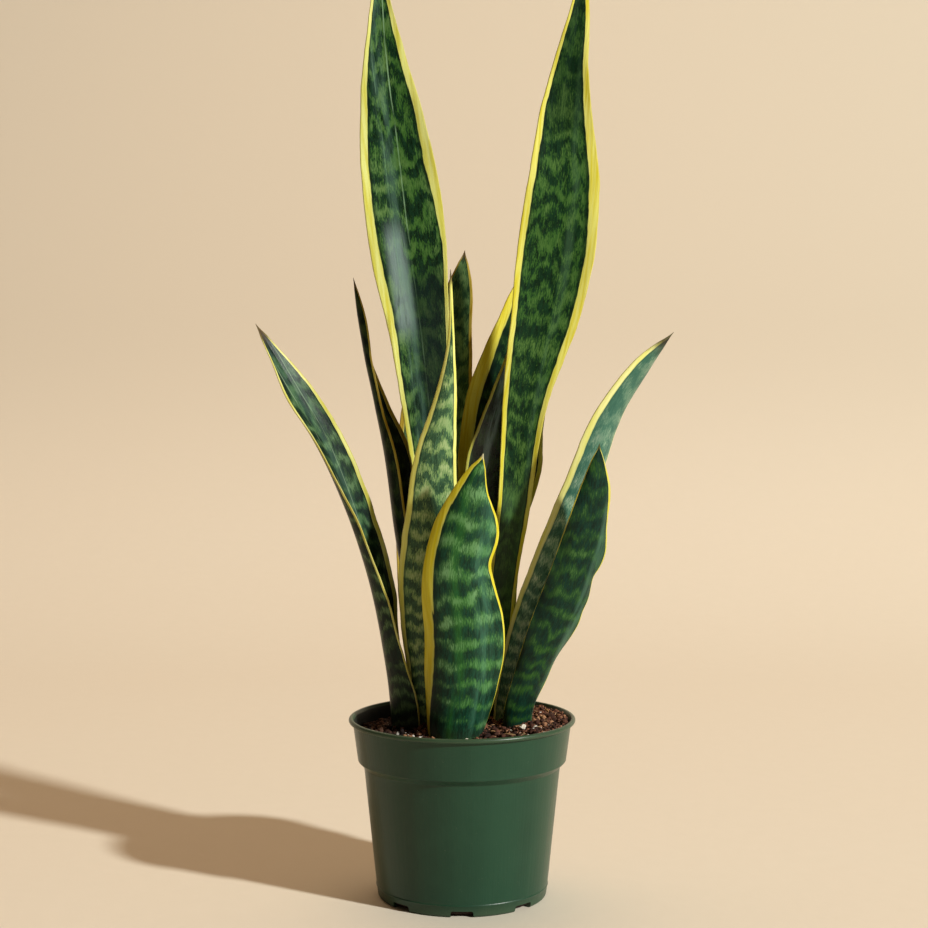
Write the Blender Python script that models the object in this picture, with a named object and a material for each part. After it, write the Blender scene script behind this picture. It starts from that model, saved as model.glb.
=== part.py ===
"""Potted snake plant: eleven variegated leaves on a rooted rhizome, in a green nursery pot.

Metres, +Z up. The origin is the centre of the pot's foot, on the surface that it stands on.
The front of the plant looks along -Y. Lengths in the leaf and crumb tables are in millimetres.
"""

import math

import bmesh
import bpy
import numpy as np
from mathutils import Matrix, Vector, noise

MM = 0.001

# ---- Driving dimensions ---------------------------------------------------------------
POT_HEIGHT = 0.1305
RIM_RADIUS = 0.0825  # outside of the lip
LIP_WIDTH = 0.0030  # how far the lip stands out from the band
LIP_HEIGHT = 0.0036
BAND_DEPTH = 0.0305  # from the rim down to the end of the upper band
BAND_DRAFT = 0.0036  # the band narrows by this much on its way down
STEP_WIDTH = 0.0044  # the body is this much smaller than the band
STEP_HEIGHT = 0.0045
BAND_ROUND = 0.0010  # softens the lower edge of the band
LIP_FILLET = 0.0006  # softens the corner under the lip
BODY_DRAFT = 0.0098  # the body narrows by this much down to the foot
WALL = 0.0014
FOOT_ROUND = 0.0022
FOOT_RING_WIDTH = 0.0085  # the outer ring that the pot stands on
CENTRE_PAD_RADIUS = 0.0240  # the middle of the floor, which also stands on the surface
FLOOR_LIFT = 0.0040  # the floor between them stands this high
FLOOR_RISE = 0.0030  # run of the slopes that lead up to it
DRAIN_COUNT = 8
NOTCH_WIDTH = 0.0160
NOTCH_HEIGHT = 0.0046
NOTCH_SLOPE = 0.0014  # the chamfers at the notch's upper corners

SOIL_DROP = 0.0110  # from the rim down to the mix at the front wall
SOIL_MOUND = 0.0070  # extra height around the leaves
MOUND_LENGTH = 0.0450  # its reach along X
MOUND_DEPTH = 0.0280  # its reach along Y
SOIL_BANK = 0.0098  # extra height on the right
BANK_ANGLE = math.radians(20)
BANK_START = -0.0100
BANK_END = 0.0450

LEAF_THICKNESS = 0.0034
LEAF_EDGE = 0.0009
LEAF_FOOT = 0.0300  # how far a leaf goes down into the mix
FOOT_SHARE = 0.6  # width of the buried end, as a share of the width at the soil line
CROWN_RADIUS = 0.0055  # the stubs that carry the leaves
STUB_NECK = 0.0020  # the upright end of a stub
RHIZOME_RADIUS = 0.0085
RHIZOME_COVER = 0.0110  # from the leaves' feet down to the top of the rhizome
RHIZOME_BEND = 0.0060  # how far it winds to each side
RHIZOME_ENDS = (0.75, 0.90)  # its ends, as shares of the outermost leaves' places along X
ROOT_COUNT = 8
ROOT_RADIUS = 0.0016
ROOT_TURN = math.radians(137.5)  # from one root to the next
ROOT_MARGIN = 0.0150  # from the roots' ends to the pot's wall and floor
CLEARANCE = 0.0003  # between pieces that touch
LEAF_REACH = 0.0420  # the leaves stand within this radius at the front and the back
CRUMB_CLEARANCE = 0.0005  # between a crumb and the rounded soil below it

POT_SEGMENTS = 48
SOIL_SEGMENTS = 40
SECTION = (-1.0, -0.8, -0.42, 0.0, 0.42, 0.8, 1.0)  # places across a leaf, edge to edge
RING_STEP = 0.024  # between sections along a leaf
FEWEST_RINGS = 12
SOIL_ROWS = (1, 0.86, 0.72, 0.58, 0.44, 0.30, 0.15)  # shares of the radius
SWELLINGS = (0.55, 0.85, 1.0, 0.9, 1.0, 0.92, 1.0, 0.85, 0.5)  # along the rhizome

SOIL_LINE = POT_HEIGHT - SOIL_DROP
RHIZOME_DEPTH = LEAF_FOOT + RHIZOME_COVER + RHIZOME_RADIUS

# ---- Leaves ---------------------------------------------------------------------------
# Each row is a station on the leaf's middle line: height above the soil line, x, y, width
# measured round the section, turn and cup. Turn is the way the section faces, in degrees
# about +Z, with 0 facing the front. Cup is how far the section curls on each side of the
# middle, in degrees: positive when its back bulges towards the way that it faces.
LEAVES = {
    "leaf_tall_left": [
        (0, -12, 19, 28, 0, -62),
        (70, -14, 18, 26, 0, -50),
        (140, -18, 17, 27, 0, -38),
        (200, -22, 15, 32, 0, -28),
        (280, -30, 12, 43, 0, -20),
        (360, -40, 9, 56, 0, -16),
        (400, -45, 8, 55, 0, -16),
        (440, -50, 7, 47, 0, -18),
        (480, -55, 6, 33, 0, -20),
        (520, -58, 5, 17, 0, -24),
        (562, -60, 4, 1.2, 0, -30),
    ],
    "leaf_tall_right": [
        (0, 26, 16, 25, 0, -50),
        (80, 27, 14, 22, 0, -42),
        (160, 37, 11, 24, 0, -32),
        (240, 46, 9, 33, 0, -22),
        (320, 63, 7, 53, 0, -16),
        (360, 69, 6, 55, 0, -15),
        (400, 73, 5, 51, 0, -16),
        (440, 74, 4, 40, 0, -18),
        (480, 78, 3, 26, 0, -20),
        (520, 84, 3, 14, 0, -24),
        (566, 87, 2, 1.2, 0, -30),
    ],
    "leaf_centre": [
        (0, -25, -5, 30, 0, 60),
        (40, -25, -7, 31, 0, 48),
        (80, -27, -9, 37, 0, 36),
        (120, -25, -12, 41, 0, 26),
        (160, -22, -15, 37, 0, 22),
        (200, -19, -18, 30, 0, 20),
        (240, -12, -21, 17, 0, 24),
        (280, -8, -24, 6, 0, 30),
        (334, -8, -27, 1.2, 0, 30),
    ],
    "leaf_front_broad": [
        (0, -6, -35, 56, 0, 84),
        (40, 0, -37, 63, 0, 60),
        (80, 1, -39, 63, 0, 44),
        (120, -3, -42, 52, 0, 36),
        (160, 4, -44, 43, 0, 34),
        (180, 7, -45, 24, 0, 34),
        (205, 15, -46, 2, 0, 34),
    ],
    "leaf_outer_left": [
        (0, -48, 0, 40, 120, -70),
        (60, -56, 1, 40, 96, -74),
        (120, -68, 1, 40, 74, -74),
        (180, -87, -2, 36, 60, -60),
        (220, -104, -6, 31, 48, -44),
        (250, -121, -10, 25, 42, -34),
        (275, -135, -13, 12, 40, -30),
        (296, -147, -16, 1.2, 40, -30),
    ],
    "leaf_inner_left": [
        (0, -32, 15, 32, 100, -70),
        (80, -38, 16, 36, 86, -84),
        (150, -48, 18, 40, 70, -92),
        (200, -54, 20, 39, 64, -94),
        (240, -63, 22, 21, 76, -70),
        (270, -70, 24, 16, 96, -56),
        (300, -75, 26, 13, 115, -46),
        (331, -80, 28, 1.2, 115, -40),
    ],
    "leaf_back_centre": [
        (0, -17, 46, 38, 0, -52),
        (100, -22, 54, 56, 0, -38),
        (170, -21, 60, 58, 0, -30),
        (240, -18, 66, 53, 0, -24),
        (290, -9, 71, 34, 0, -22),
        (330, -1, 75, 17, 0, -24),
        (354, 2, 78, 1.2, 0, -30),
    ],
    "leaf_back_gold": [
        (0, 14, 38, 30, 0, -48),
        (90, 16, 41, 40, 0, -38),
        (180, 20, 47, 48, 0, -26),
        (240, 26, 52, 46, 0, -22),
        (290, 40, 56, 34, 0, -22),
        (330, 50, 60, 17, 0, -24),
        (358, 55, 63, 1.2, 0, -30),
    ],
    "leaf_back_right": [
        (0, 34, 28, 28, -6, -52),
        (80, 22, 27, 38, 0, -40),
        (150, 24, 27, 46, 0, -30),
        (200, 32, 27, 56, 0, -22),
        (220, 36, 26, 48, 0, -20),
        (240, 41, 26, 42, 0, -20),
        (280, 48, 26, 24, 0, -22),
        (306, 51, 26, 1.2, 0, -30),
    ],
    "leaf_outer_right": [
        (0, 36, -4, 29, 0, 52),
        (60, 46, -5, 32, 10, 46),
        (120, 65, -8, 32, 20, 40),
        (180, 88, -12, 31, 30, 34),
        (240, 112, -16, 24, 35, 30),
        (270, 133, -19, 17, 38, 30),
        (290, 150, -22, 1.2, 40, 30),
    ],
    "leaf_short_right": [
        (0, 40, -17, 24, 18, 50),
        (40, 49, -21, 26, 18, 40),
        (80, 66, -27, 36, 18, 30),
        (120, 81, -33, 37, 18, 26),
        (160, 91, -39, 30, 18, 26),
        (190, 95, -43, 17, 18, 28),
        (212, 96, -46, 1.2, 18, 30),
    ],
}
# Ripple along a leaf's edges: how far it swings and the length of one wave.
RIPPLES = {
    "leaf_front_broad": (0.6, 70),
    "leaf_outer_left": (0.5, 60),
    "leaf_short_right": (1.2, 46),
    "leaf_tall_left": (0.8, 110),
    "leaf_tall_right": (0.8, 120),
}


# ---- Leaf surface ---------------------------------------------------------------------
def smooth_curve(knots, values, places):
    """Values at places on a smooth curve through every row of values at the knots."""
    knots = np.asarray(knots, float)
    values = np.asarray(values, float)
    slopes = np.gradient(values, knots, axis=0)
    spans = np.clip(np.searchsorted(knots, places, side="right") - 1, 0, len(knots) - 2)
    length = (knots[spans + 1] - knots[spans])[:, None]
    t = (places[:, None] - knots[spans][:, None]) / length
    start = (1 + 2 * t) * (1 - t) ** 2 * values[spans]
    end = t * t * (3 - 2 * t) * values[spans + 1]
    leave = t * (1 - t) ** 2 * length * slopes[spans]
    arrive = t * t * (t - 1) * length * slopes[spans + 1]
    return start + end + leave + arrive


def leaf_surface(name, heights, section, grow=0.0):
    """Front and back points, (heights, section, xyz), of a leaf; grow swells it on all sides.

    The heights are millimetres above the soil line, from minus LEAF_FOOT up to the tip.
    """
    table = np.array(LEAVES[name], float)
    foot = table[0] * (1, 1, 1, FOOT_SHARE, 1, 1)
    foot[0] = -LEAF_FOOT / MM
    table = np.vstack([foot, table])
    rows = smooth_curve(table[:, 0], table[:, 1:], heights)
    spine = np.column_stack([rows[:, 0], rows[:, 1], heights]) * MM
    spine[:, 2] += SOIL_LINE
    width = np.maximum(rows[:, 2], 1.0) * MM
    turn, cup = np.radians(rows[:, 3]), np.radians(rows[:, 4])
    along = np.gradient(spine, axis=0)
    along /= np.linalg.norm(along, axis=1)[:, None]
    across = np.column_stack([np.cos(turn), np.sin(turn), np.zeros(len(turn))])
    across -= along * np.sum(across * along, axis=1)[:, None]
    across /= np.linalg.norm(across, axis=1)[:, None]
    facing = np.cross(across, along)

    s = np.asarray(section)[None, :]
    radius = (width / (2 * np.abs(cup)))[:, None]
    angle = np.abs(cup)[:, None] * s * (1 + 2 * grow / width)[:, None]
    side = np.sign(cup)[:, None]
    lean = (side * np.sin(angle))[..., None]
    normal = across[:, None] * lean + facing[:, None] * np.cos(angle)[..., None]
    middle = (
        spine[:, None]
        + across[:, None] * (radius * np.sin(angle))[..., None]
        - facing[:, None] * (side * radius * (1 - np.cos(angle)))[..., None]
    )
    swing, wave = RIPPLES.get(name, (0.0, 1.0))
    ripple = swing * MM * np.abs(s) ** 3 * np.sin(2 * math.pi * heights[:, None] / wave + 2 * s)
    ripple *= np.minimum(width / (20 * MM), 1)[:, None]
    slim = np.minimum(width / (24 * MM), 1)[:, None] ** 0.7
    half = 0.5 * (LEAF_EDGE + (LEAF_THICKNESS - LEAF_EDGE) * (1 - s**2) ** 0.8) * slim + grow
    front = middle + normal * (ripple + half)[..., None]
    back = middle + normal * (ripple - half)[..., None]
    return front, back


# ---- End of leaf surface --------------------------------------------------------------


# ---- Building blocks ------------------------------------------------------------------
def clear_scene():
    for obj in list(bpy.data.objects):
        bpy.data.objects.remove(obj, do_unlink=True)


def make_material(name, colour, roughness):
    material = bpy.data.materials.new(name)
    material.use_nodes = True
    shader = material.node_tree.nodes["Principled BSDF"]
    shader.inputs["Base Color"].default_value = (*colour, 1)
    shader.inputs["Roughness"].default_value = roughness
    shader.inputs["Metallic"].default_value = 0
    material.diffuse_color = (*colour, 1)
    return material


def add_object(name, points, faces, material=None):
    """A mesh object with its faces turned outwards and its round stretches shaded smooth."""
    mesh = bpy.data.meshes.new(name)
    mesh.from_pydata([tuple(p) for p in points], [], faces)
    work = bmesh.new()
    work.from_mesh(mesh)
    bmesh.ops.recalc_face_normals(work, faces=work.faces)
    work.to_mesh(mesh)
    work.free()
    mesh.shade_smooth()
    mesh.set_sharp_from_angle(angle=math.radians(35))
    if material:
        mesh.materials.append(material)
    obj = bpy.data.objects.new(name, mesh)
    bpy.context.scene.collection.objects.link(obj)
    return obj


def skin(name, rings, material=None):
    """A closed solid from rings of equal length, each closed on itself, with flat ends.

    Its sides are triangles, so that a swollen copy bends along the same lines.
    """
    count = len(rings[0])
    points = [p for ring in rings for p in ring]
    faces = []
    for i in range(len(rings) - 1):
        low, high = i * count, (i + 1) * count
        for j in range(count):
            k = (j + 1) % count
            faces.append((low + j, low + k, high + k))
            faces.append((low + j, high + k, high + j))
    faces.append(tuple(range(count)))
    faces.append(tuple((len(rings) - 1) * count + j for j in range(count)))
    return add_object(name, points, faces, material)


def lathe(name, profile, segments, material=None):
    """A solid turned about Z from (radius, height) pairs that start and end on the axis."""
    low, high = profile[0], profile[-1]
    points = [(0, 0, low[1])]
    for radius, height in profile[1:-1]:
        for j in range(segments):
            a = 2 * math.pi * j / segments
            points.append((radius * math.cos(a), radius * math.sin(a), height))
    points.append((0, 0, high[1]))
    faces = []
    for j in range(segments):
        k = (j + 1) % segments
        faces.append((0, 1 + k, 1 + j))
        for i in range(len(profile) - 3):
            row = 1 + i * segments
            faces.append((row + j, row + k, row + segments + k, row + segments + j))
        row = 1 + (len(profile) - 3) * segments
        faces.append((row + j, row + k, len(points) - 1))
    return add_object(name, points, faces, material)


def combine(obj, other, operation, solver="EXACT"):
    """Joins or cuts obj with other, keeps the result as obj's own mesh and removes other."""
    modifier = obj.modifiers.new(operation.lower(), "BOOLEAN")
    modifier.operation = operation
    modifier.solver = solver
    modifier.object = other
    graph = bpy.context.evaluated_depsgraph_get()
    mesh = bpy.data.meshes.new_from_object(obj.evaluated_get(graph))
    obj.modifiers.remove(modifier)
    obj.data = mesh
    bpy.data.objects.remove(other, do_unlink=True)
    return obj


def tube(name, path, radii, sides, material=None):
    """A round solid along a path of points, with one radius for each point."""
    path = [Vector(p) for p in path]
    rings = []
    for i, point in enumerate(path):
        before = path[max(i - 1, 0)]
        after = path[min(i + 1, len(path) - 1)]
        along = (after - before).normalized()
        side = along.cross(Vector((0.31, 0.95, 0.05))).normalized()
        up = along.cross(side)
        ring = []
        for j in range(sides):
            a = 2 * math.pi * j / sides
            ring.append(point + (side * math.cos(a) + up * math.sin(a)) * radii[i])
        rings.append(ring)
    return skin(name, rings, material)


# ---- Pot ------------------------------------------------------------------------------
BAND_TOP_RADIUS = RIM_RADIUS - LIP_WIDTH
BAND_FOOT_RADIUS = BAND_TOP_RADIUS - BAND_DRAFT
BODY_TOP_RADIUS = BAND_FOOT_RADIUS - STEP_WIDTH
FOOT_RADIUS = BODY_TOP_RADIUS - BODY_DRAFT
RING_INSIDE = FOOT_RADIUS - FOOT_RING_WIDTH
BAND_TOP = POT_HEIGHT - LIP_HEIGHT
BAND_FOOT = POT_HEIGHT - BAND_DEPTH
BODY_TOP = BAND_FOOT - STEP_HEIGHT


def arc(centre, radius, start, stop, count):
    """Points on an arc, angles in degrees from +R towards +Z."""
    points = []
    for i in range(count):
        a = math.radians(start + (stop - start) * i / (count - 1))
        points.append((centre[0] + radius * math.cos(a), centre[1] + radius * math.sin(a)))
    return points


def inner_profile(gap):
    """The pot's inside from the middle of its floor to the rim, moved in by a gap."""
    low = WALL + gap
    high = FLOOR_LIFT + WALL + gap
    corner = FOOT_RADIUS - WALL - gap
    return [
        (0, low),
        (CENTRE_PAD_RADIUS - gap, low),
        (CENTRE_PAD_RADIUS + FLOOR_RISE - gap, high),
        (RING_INSIDE - FLOOR_RISE + gap, high),
        (RING_INSIDE + gap, low),
        (corner - FOOT_ROUND, low),
        (corner, low + FOOT_ROUND),
        (BODY_TOP_RADIUS - WALL - gap, BODY_TOP),
        (BAND_FOOT_RADIUS - WALL - gap, BAND_FOOT),
        (BAND_TOP_RADIUS - WALL - gap, BAND_TOP),
    ]


def build_pot(material):
    outside = [
        (0, 0),
        (CENTRE_PAD_RADIUS, 0),
        (CENTRE_PAD_RADIUS + FLOOR_RISE, FLOOR_LIFT),
        (RING_INSIDE - FLOOR_RISE, FLOOR_LIFT),
        (RING_INSIDE, 0),
    ]
    outside += arc((FOOT_RADIUS - FOOT_ROUND, FOOT_ROUND), FOOT_ROUND, -90, 0, 3)
    outside += [
        (BODY_TOP_RADIUS, BODY_TOP),
        (BAND_FOOT_RADIUS - BAND_ROUND, BAND_FOOT - BAND_ROUND),
        (BAND_FOOT_RADIUS, BAND_FOOT),
        (BAND_TOP_RADIUS, BAND_TOP - LIP_FILLET),
    ]
    bead = LIP_HEIGHT / 2
    outside += arc((RIM_RADIUS - bead, POT_HEIGHT - bead), bead, -60, 100, 6)
    inside = list(reversed(inner_profile(0)))
    pot = lathe("pot", outside + inside, POT_SEGMENTS, material)
    for i in range(DRAIN_COUNT):
        angle = -math.pi / 2 + 2 * math.pi * i / DRAIN_COUNT
        near, far = RING_INSIDE - FLOOR_RISE, FOOT_RADIUS + FOOT_ROUND
        top, half, slope = NOTCH_HEIGHT, NOTCH_WIDTH / 2, NOTCH_SLOPE
        corners = [(-half, -top), (half, -top), (half, top - slope), (half - slope, top)]
        corners += [(slope - half, top), (-half, top - slope)]
        turn = Matrix.Rotation(angle, 4, "Z")
        rings = [[turn @ Vector((r, y, z)) for y, z in corners] for r in (near, far)]
        combine(pot, skin("notch", rings), "DIFFERENCE")
    return pot


# ---- Leaves ---------------------------------------------------------------------------
def leaf_rings(name, grow=0.0):
    """Closed sections from the foot to the tip, and the height of each above the soil line."""
    low, high = -LEAF_FOOT / MM, LEAVES[name][-1][0]
    count = max(FEWEST_RINGS, round((high - low) * MM / RING_STEP))
    heights = np.linspace(low, high, count)
    front, back = leaf_surface(name, heights, SECTION, grow)
    front[0, :, 2] -= grow
    back[0, :, 2] -= grow
    return [list(f) + list(b[::-1]) for f, b in zip(front, back)], heights * MM


def build_leaf(name, material):
    return skin(name, leaf_rings(name)[0], material)


def build_slot(name):
    """The lower part of a leaf, swollen by the clearance, to cut its place in the mix."""
    rings, heights = leaf_rings(name, CLEARANCE)
    clear = int(np.argmax(heights > SOIL_MOUND + SOIL_BANK)) + 1
    return skin("slot", rings[: clear + 1])


# ---- Rhizome --------------------------------------------------------------------------
def rhizome_point(share):
    """A point on the creeping stem's middle line, share 0 at its left end and 1 at its right."""
    feet = np.array([rows[0][1:3] for rows in LEAVES.values()]) * MM
    left, right = feet[:, 0].min() * RHIZOME_ENDS[0], feet[:, 0].max() * RHIZOME_ENDS[1]
    bend = RHIZOME_BEND * math.sin(2 * math.pi * share)
    x = left + (right - left) * share
    return Vector((x, feet[:, 1].mean() + bend, SOIL_LINE - RHIZOME_DEPTH))


def build_rhizome(name, grow, material=None):
    """Creeping stem, one stub under each leaf and the main roots, joined into one body."""
    path = [rhizome_point(share) for share in np.linspace(0, 1, len(SWELLINGS))]
    body = tube(name, path, [RHIZOME_RADIUS * k + grow for k in SWELLINGS], 12, material)
    shares = np.linspace(0.12, 0.88, 53)
    for rows in LEAVES.values():
        foot = Vector((rows[0][1] * MM, rows[0][2] * MM, SOIL_LINE - LEAF_FOOT - CLEARANCE))
        start = min((rhizome_point(share) for share in shares), key=lambda p: (p - foot).length)
        below = foot - Vector((0, 0, STUB_NECK))
        path, radii = [], []
        for turn in np.radians((0, 25, 50, 75, 90)):
            out, up = math.sin(turn), 1 - math.cos(turn)
            level = start.lerp(below, out)
            path.append(Vector((level.x, level.y, start.z + (below.z - start.z) * up)))
            radii.append(CROWN_RADIUS * (0.75 + 0.25 * out) + grow)
        path.append(foot + Vector((0, 0, grow)))
        radii.append(CROWN_RADIUS + grow)
        combine(body, tube("stub", path, radii, 8), "UNION", "MANIFOLD")
    for i in range(ROOT_COUNT):
        start = rhizome_point((i + 0.7) / (ROOT_COUNT + 0.5))
        out = Vector((math.cos(ROOT_TURN * i), math.sin(ROOT_TURN * i), 0))
        room = FOOT_RADIUS - WALL - ROOT_MARGIN
        level = start.xy.dot(out.xy)
        spread = math.sqrt(level**2 + room**2 - start.xy.length_squared) - level
        fall = start.z - (FLOOR_LIFT + WALL + ROOT_MARGIN)
        path, radii = [], []
        for t in (0, 0.2, 0.45, 0.7, 1):
            drop = Vector((0, 0, fall * (0.25 * t + 0.75 * t * t)))
            path.append(start + out * spread * (4 * t - t * t) / 3 - drop)
            radii.append(ROOT_RADIUS * (1.2 - 0.5 * t) + grow)
        combine(body, tube("root", path, radii, 5), "UNION", "MANIFOLD")
    return body


# ---- Potting mix ----------------------------------------------------------------------
def soil_height(x, y):
    """Top of the mix: a mound round the leaves, blended into a bank on the right."""
    reach = (x / MOUND_LENGTH) ** 2 + (y / MOUND_DEPTH) ** 2
    mound = SOIL_MOUND * math.exp(-(reach**2))
    uphill = x * math.cos(BANK_ANGLE) + y * math.sin(BANK_ANGLE)
    t = min(max((uphill - BANK_START) / (BANK_END - BANK_START), 0), 1)
    bank = SOIL_BANK * t * t * (3 - 2 * t)
    return SOIL_LINE + (mound**3 + bank**3) ** (1 / 3)


def wall_radius(height, gap):
    """Inside radius of the pot's upper band at a height, moved in by a gap."""
    share = (height - BAND_FOOT) / (BAND_TOP - BAND_FOOT)
    return BAND_FOOT_RADIUS + share * BAND_DRAFT - WALL - gap


def build_mix(material):
    below = inner_profile(CLEARANCE)[:-1]
    angles = [2 * math.pi * j / SOIL_SEGMENTS for j in range(SOIL_SEGMENTS)]
    points = [(0, 0, below[0][1])]
    for radius, height in below[1:]:
        points += [(radius * math.cos(a), radius * math.sin(a), height) for a in angles]
    for share in SOIL_ROWS:
        for a in angles:
            radius = wall_radius(SOIL_LINE, CLEARANCE)
            x, y = radius * math.cos(a), radius * math.sin(a)
            radius = wall_radius(soil_height(x, y), CLEARANCE) * share
            x, y = radius * math.cos(a), radius * math.sin(a)
            points.append((x, y, soil_height(x, y)))
    points.append((0, 0, soil_height(0, 0)))
    rows = (len(points) - 2) // SOIL_SEGMENTS
    faces = []
    for j in range(SOIL_SEGMENTS):
        k = (j + 1) % SOIL_SEGMENTS
        faces.append((0, 1 + k, 1 + j))
        for i in range(rows - 1):
            row = 1 + i * SOIL_SEGMENTS
            faces.append((row + j, row + k, row + SOIL_SEGMENTS + k, row + SOIL_SEGMENTS + j))
        last = 1 + (rows - 1) * SOIL_SEGMENTS
        faces.append((last + j, last + k, len(points) - 1))
    mix = add_object("potting_mix", points, faces, material)
    hollow = build_rhizome("hollow", CLEARANCE)
    for name in LEAVES:
        combine(hollow, build_slot(name), "UNION", "MANIFOLD")
    return combine(mix, hollow, "DIFFERENCE", "MANIFOLD")


# ---- Crumbs on the mix ----------------------------------------------------------------
# Name, angle about Z in degrees from +X, place between the leaves' reach (0) and the wall (1),
# length, width, thickness and turn about Z in degrees.
CRUMBS = [
    ("perlite_1", -150, 0.55, 4.2, 3.4, 3.0, 20),
    ("perlite_2", -129, 0.40, 4.4, 3.6, 3.2, 70),
    ("perlite_3", -111, 0.50, 3.4, 3.0, 2.6, 10),
    ("perlite_4", -134, 0.05, 3.6, 2.8, 2.6, 40),
    ("perlite_5", -38, 0.36, 5.2, 4.6, 4.0, 0),
    ("perlite_6", 12, 0.50, 3.4, 2.8, 2.6, 30),
    ("perlite_7", 128, 0.60, 4.0, 3.2, 2.8, 60),
    ("perlite_8", 86, 0.55, 4.2, 3.4, 3.0, 15),
    ("bark_chip_1", -105, 0.62, 8.0, 4.5, 2.6, 15),
    ("bark_chip_2", -62, 0.24, 7.0, 5.0, 2.8, 150),
    ("bark_chip_3", -60, 0.58, 6.5, 4.0, 2.4, 35),
    ("bark_chip_4", -14, 0.50, 7.0, 4.4, 3.0, 80),
    ("bark_chip_5", 45, 0.64, 8.0, 5.0, 3.4, 20),
    ("bark_chip_6", 171, 0.55, 7.5, 4.6, 2.8, 100),
    ("bark_chip_7", 117, 0.60, 8.5, 5.0, 3.0, 165),
    ("bark_chip_8", 65, 0.70, 7.0, 4.2, 2.8, 50),
    ("twig_1", -140, 0.32, 13, 1.4, 1.4, 40),
    ("twig_2", -50, 0.30, 11, 1.3, 1.3, 150),
    ("twig_3", 24, 0.78, 12, 1.5, 1.5, 100),
]


def build_crumb(name, angle, share, sizes, turn, material):
    """An uneven lump that rests on the mix."""
    mesh = bmesh.new()
    fine = 2 if name.startswith("perlite") else 1
    bmesh.ops.create_icosphere(mesh, subdivisions=fine, radius=1)
    offset = Vector((angle, share, 0))
    for v in mesh.verts:
        v.co *= 1 + 0.16 * noise.noise(v.co * 1.6 + offset)
    radius = LEAF_REACH + (wall_radius(SOIL_LINE, 0) - LEAF_REACH) * share
    x, y = radius * math.cos(math.radians(angle)), radius * math.sin(math.radians(angle))
    half = [0.5 * size * MM for size in sizes]
    spin = Matrix.Rotation(math.radians(turn), 4, "Z")
    stretch = Matrix.Diagonal((*half, 1))
    mesh.transform(spin @ stretch)
    reach = [(x + v.co.x, y + v.co.y) for v in mesh.verts] + [(x, y)]
    ground = max(soil_height(*place) for place in reach)
    lowest = min(v.co.z for v in mesh.verts)
    mesh.transform(Matrix.Translation((x, y, ground + CRUMB_CLEARANCE - lowest)))
    points = [v.co.copy() for v in mesh.verts]
    faces = [tuple(v.index for v in face.verts) for face in mesh.faces]
    mesh.free()
    return add_object(name, points, faces, material)


# ---- The plant ------------------------------------------------------------------------
def main():
    clear_scene()
    plastic = make_material("pot_plastic", (0.014, 0.048, 0.024), 0.38)
    blade = make_material("leaf_blade", (0.036, 0.092, 0.032), 0.34)
    compost = make_material("potting_mix", (0.055, 0.026, 0.015), 0.95)
    stem = make_material("rhizome", (0.480, 0.330, 0.140), 0.70)
    finishes = {
        "perlite": make_material("perlite", (0.800, 0.770, 0.700), 0.90),
        "bark_chip": make_material("bark", (0.230, 0.120, 0.060), 0.90),
        "twig": make_material("twig", (0.450, 0.300, 0.160), 0.85),
    }
    build_pot(plastic)
    build_mix(compost)
    build_rhizome("rhizome", 0, stem)
    for name in LEAVES:
        build_leaf(name, blade)
    for name, angle, share, *sizes, turn in CRUMBS:
        build_crumb(name, angle, share, sizes, turn, finishes[name.rsplit("_", 1)[0]])


main()
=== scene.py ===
import math

import bmesh
import bpy
import numpy as np
from mathutils import Matrix, Vector, noise


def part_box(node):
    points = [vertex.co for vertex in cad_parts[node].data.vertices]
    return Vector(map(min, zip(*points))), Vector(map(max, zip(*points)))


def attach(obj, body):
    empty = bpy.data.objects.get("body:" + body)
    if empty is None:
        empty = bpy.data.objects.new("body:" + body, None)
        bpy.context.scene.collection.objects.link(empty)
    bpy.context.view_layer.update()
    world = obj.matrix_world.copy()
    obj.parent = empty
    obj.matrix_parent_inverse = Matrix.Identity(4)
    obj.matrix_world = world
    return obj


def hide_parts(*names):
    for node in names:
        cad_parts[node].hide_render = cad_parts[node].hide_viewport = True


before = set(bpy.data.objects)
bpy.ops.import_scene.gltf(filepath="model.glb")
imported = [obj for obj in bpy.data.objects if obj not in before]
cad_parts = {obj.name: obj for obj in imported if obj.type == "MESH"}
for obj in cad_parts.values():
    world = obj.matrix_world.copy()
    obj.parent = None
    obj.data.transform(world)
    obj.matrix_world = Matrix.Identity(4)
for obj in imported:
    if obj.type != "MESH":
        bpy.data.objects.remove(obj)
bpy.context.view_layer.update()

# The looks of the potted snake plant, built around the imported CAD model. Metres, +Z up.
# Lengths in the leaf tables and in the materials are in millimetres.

MM = 0.001
BODY = "root"

# ---- Sizes that the frame doesn't state, as in the CAD
RIM_RADIUS = (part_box("pot")[1].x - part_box("pot")[0].x) / 2
POT_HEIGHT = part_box("pot")[1].z
LIP_WIDTH = 0.0030
LIP_HEIGHT = 0.0036
BAND_DEPTH = 0.0305
BAND_DRAFT = 0.0036
STEP_WIDTH = 0.0044
STEP_HEIGHT = 0.0045
BODY_DRAFT = 0.0098
WALL = 0.0014
FOOT_ROUND = 0.0022
FOOT_RING_WIDTH = 0.0085
PAD_RADIUS = 0.0240
FLOOR_LIFT = 0.0040
FLOOR_RISE = 0.0030
DRAIN_COUNT = 8
NOTCH_WIDTH = 0.0160
NOTCH_HEIGHT = 0.0046
NOTCH_SLOPE = 0.0014
SOIL_DROP = 0.0110
SOIL_MOUND = 0.0070
MOUND_LENGTH = 0.0450
MOUND_DEPTH = 0.0280
SOIL_BANK = 0.0098
BANK_ANGLE = math.radians(20)
BANK_START = -0.0100
BANK_END = 0.0450
LEAF_THICKNESS = 0.0034
LEAF_EDGE = 0.0009
LEAF_FOOT = 0.0300
FOOT_SHARE = 0.6
SOIL_LINE = POT_HEIGHT - SOIL_DROP

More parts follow.
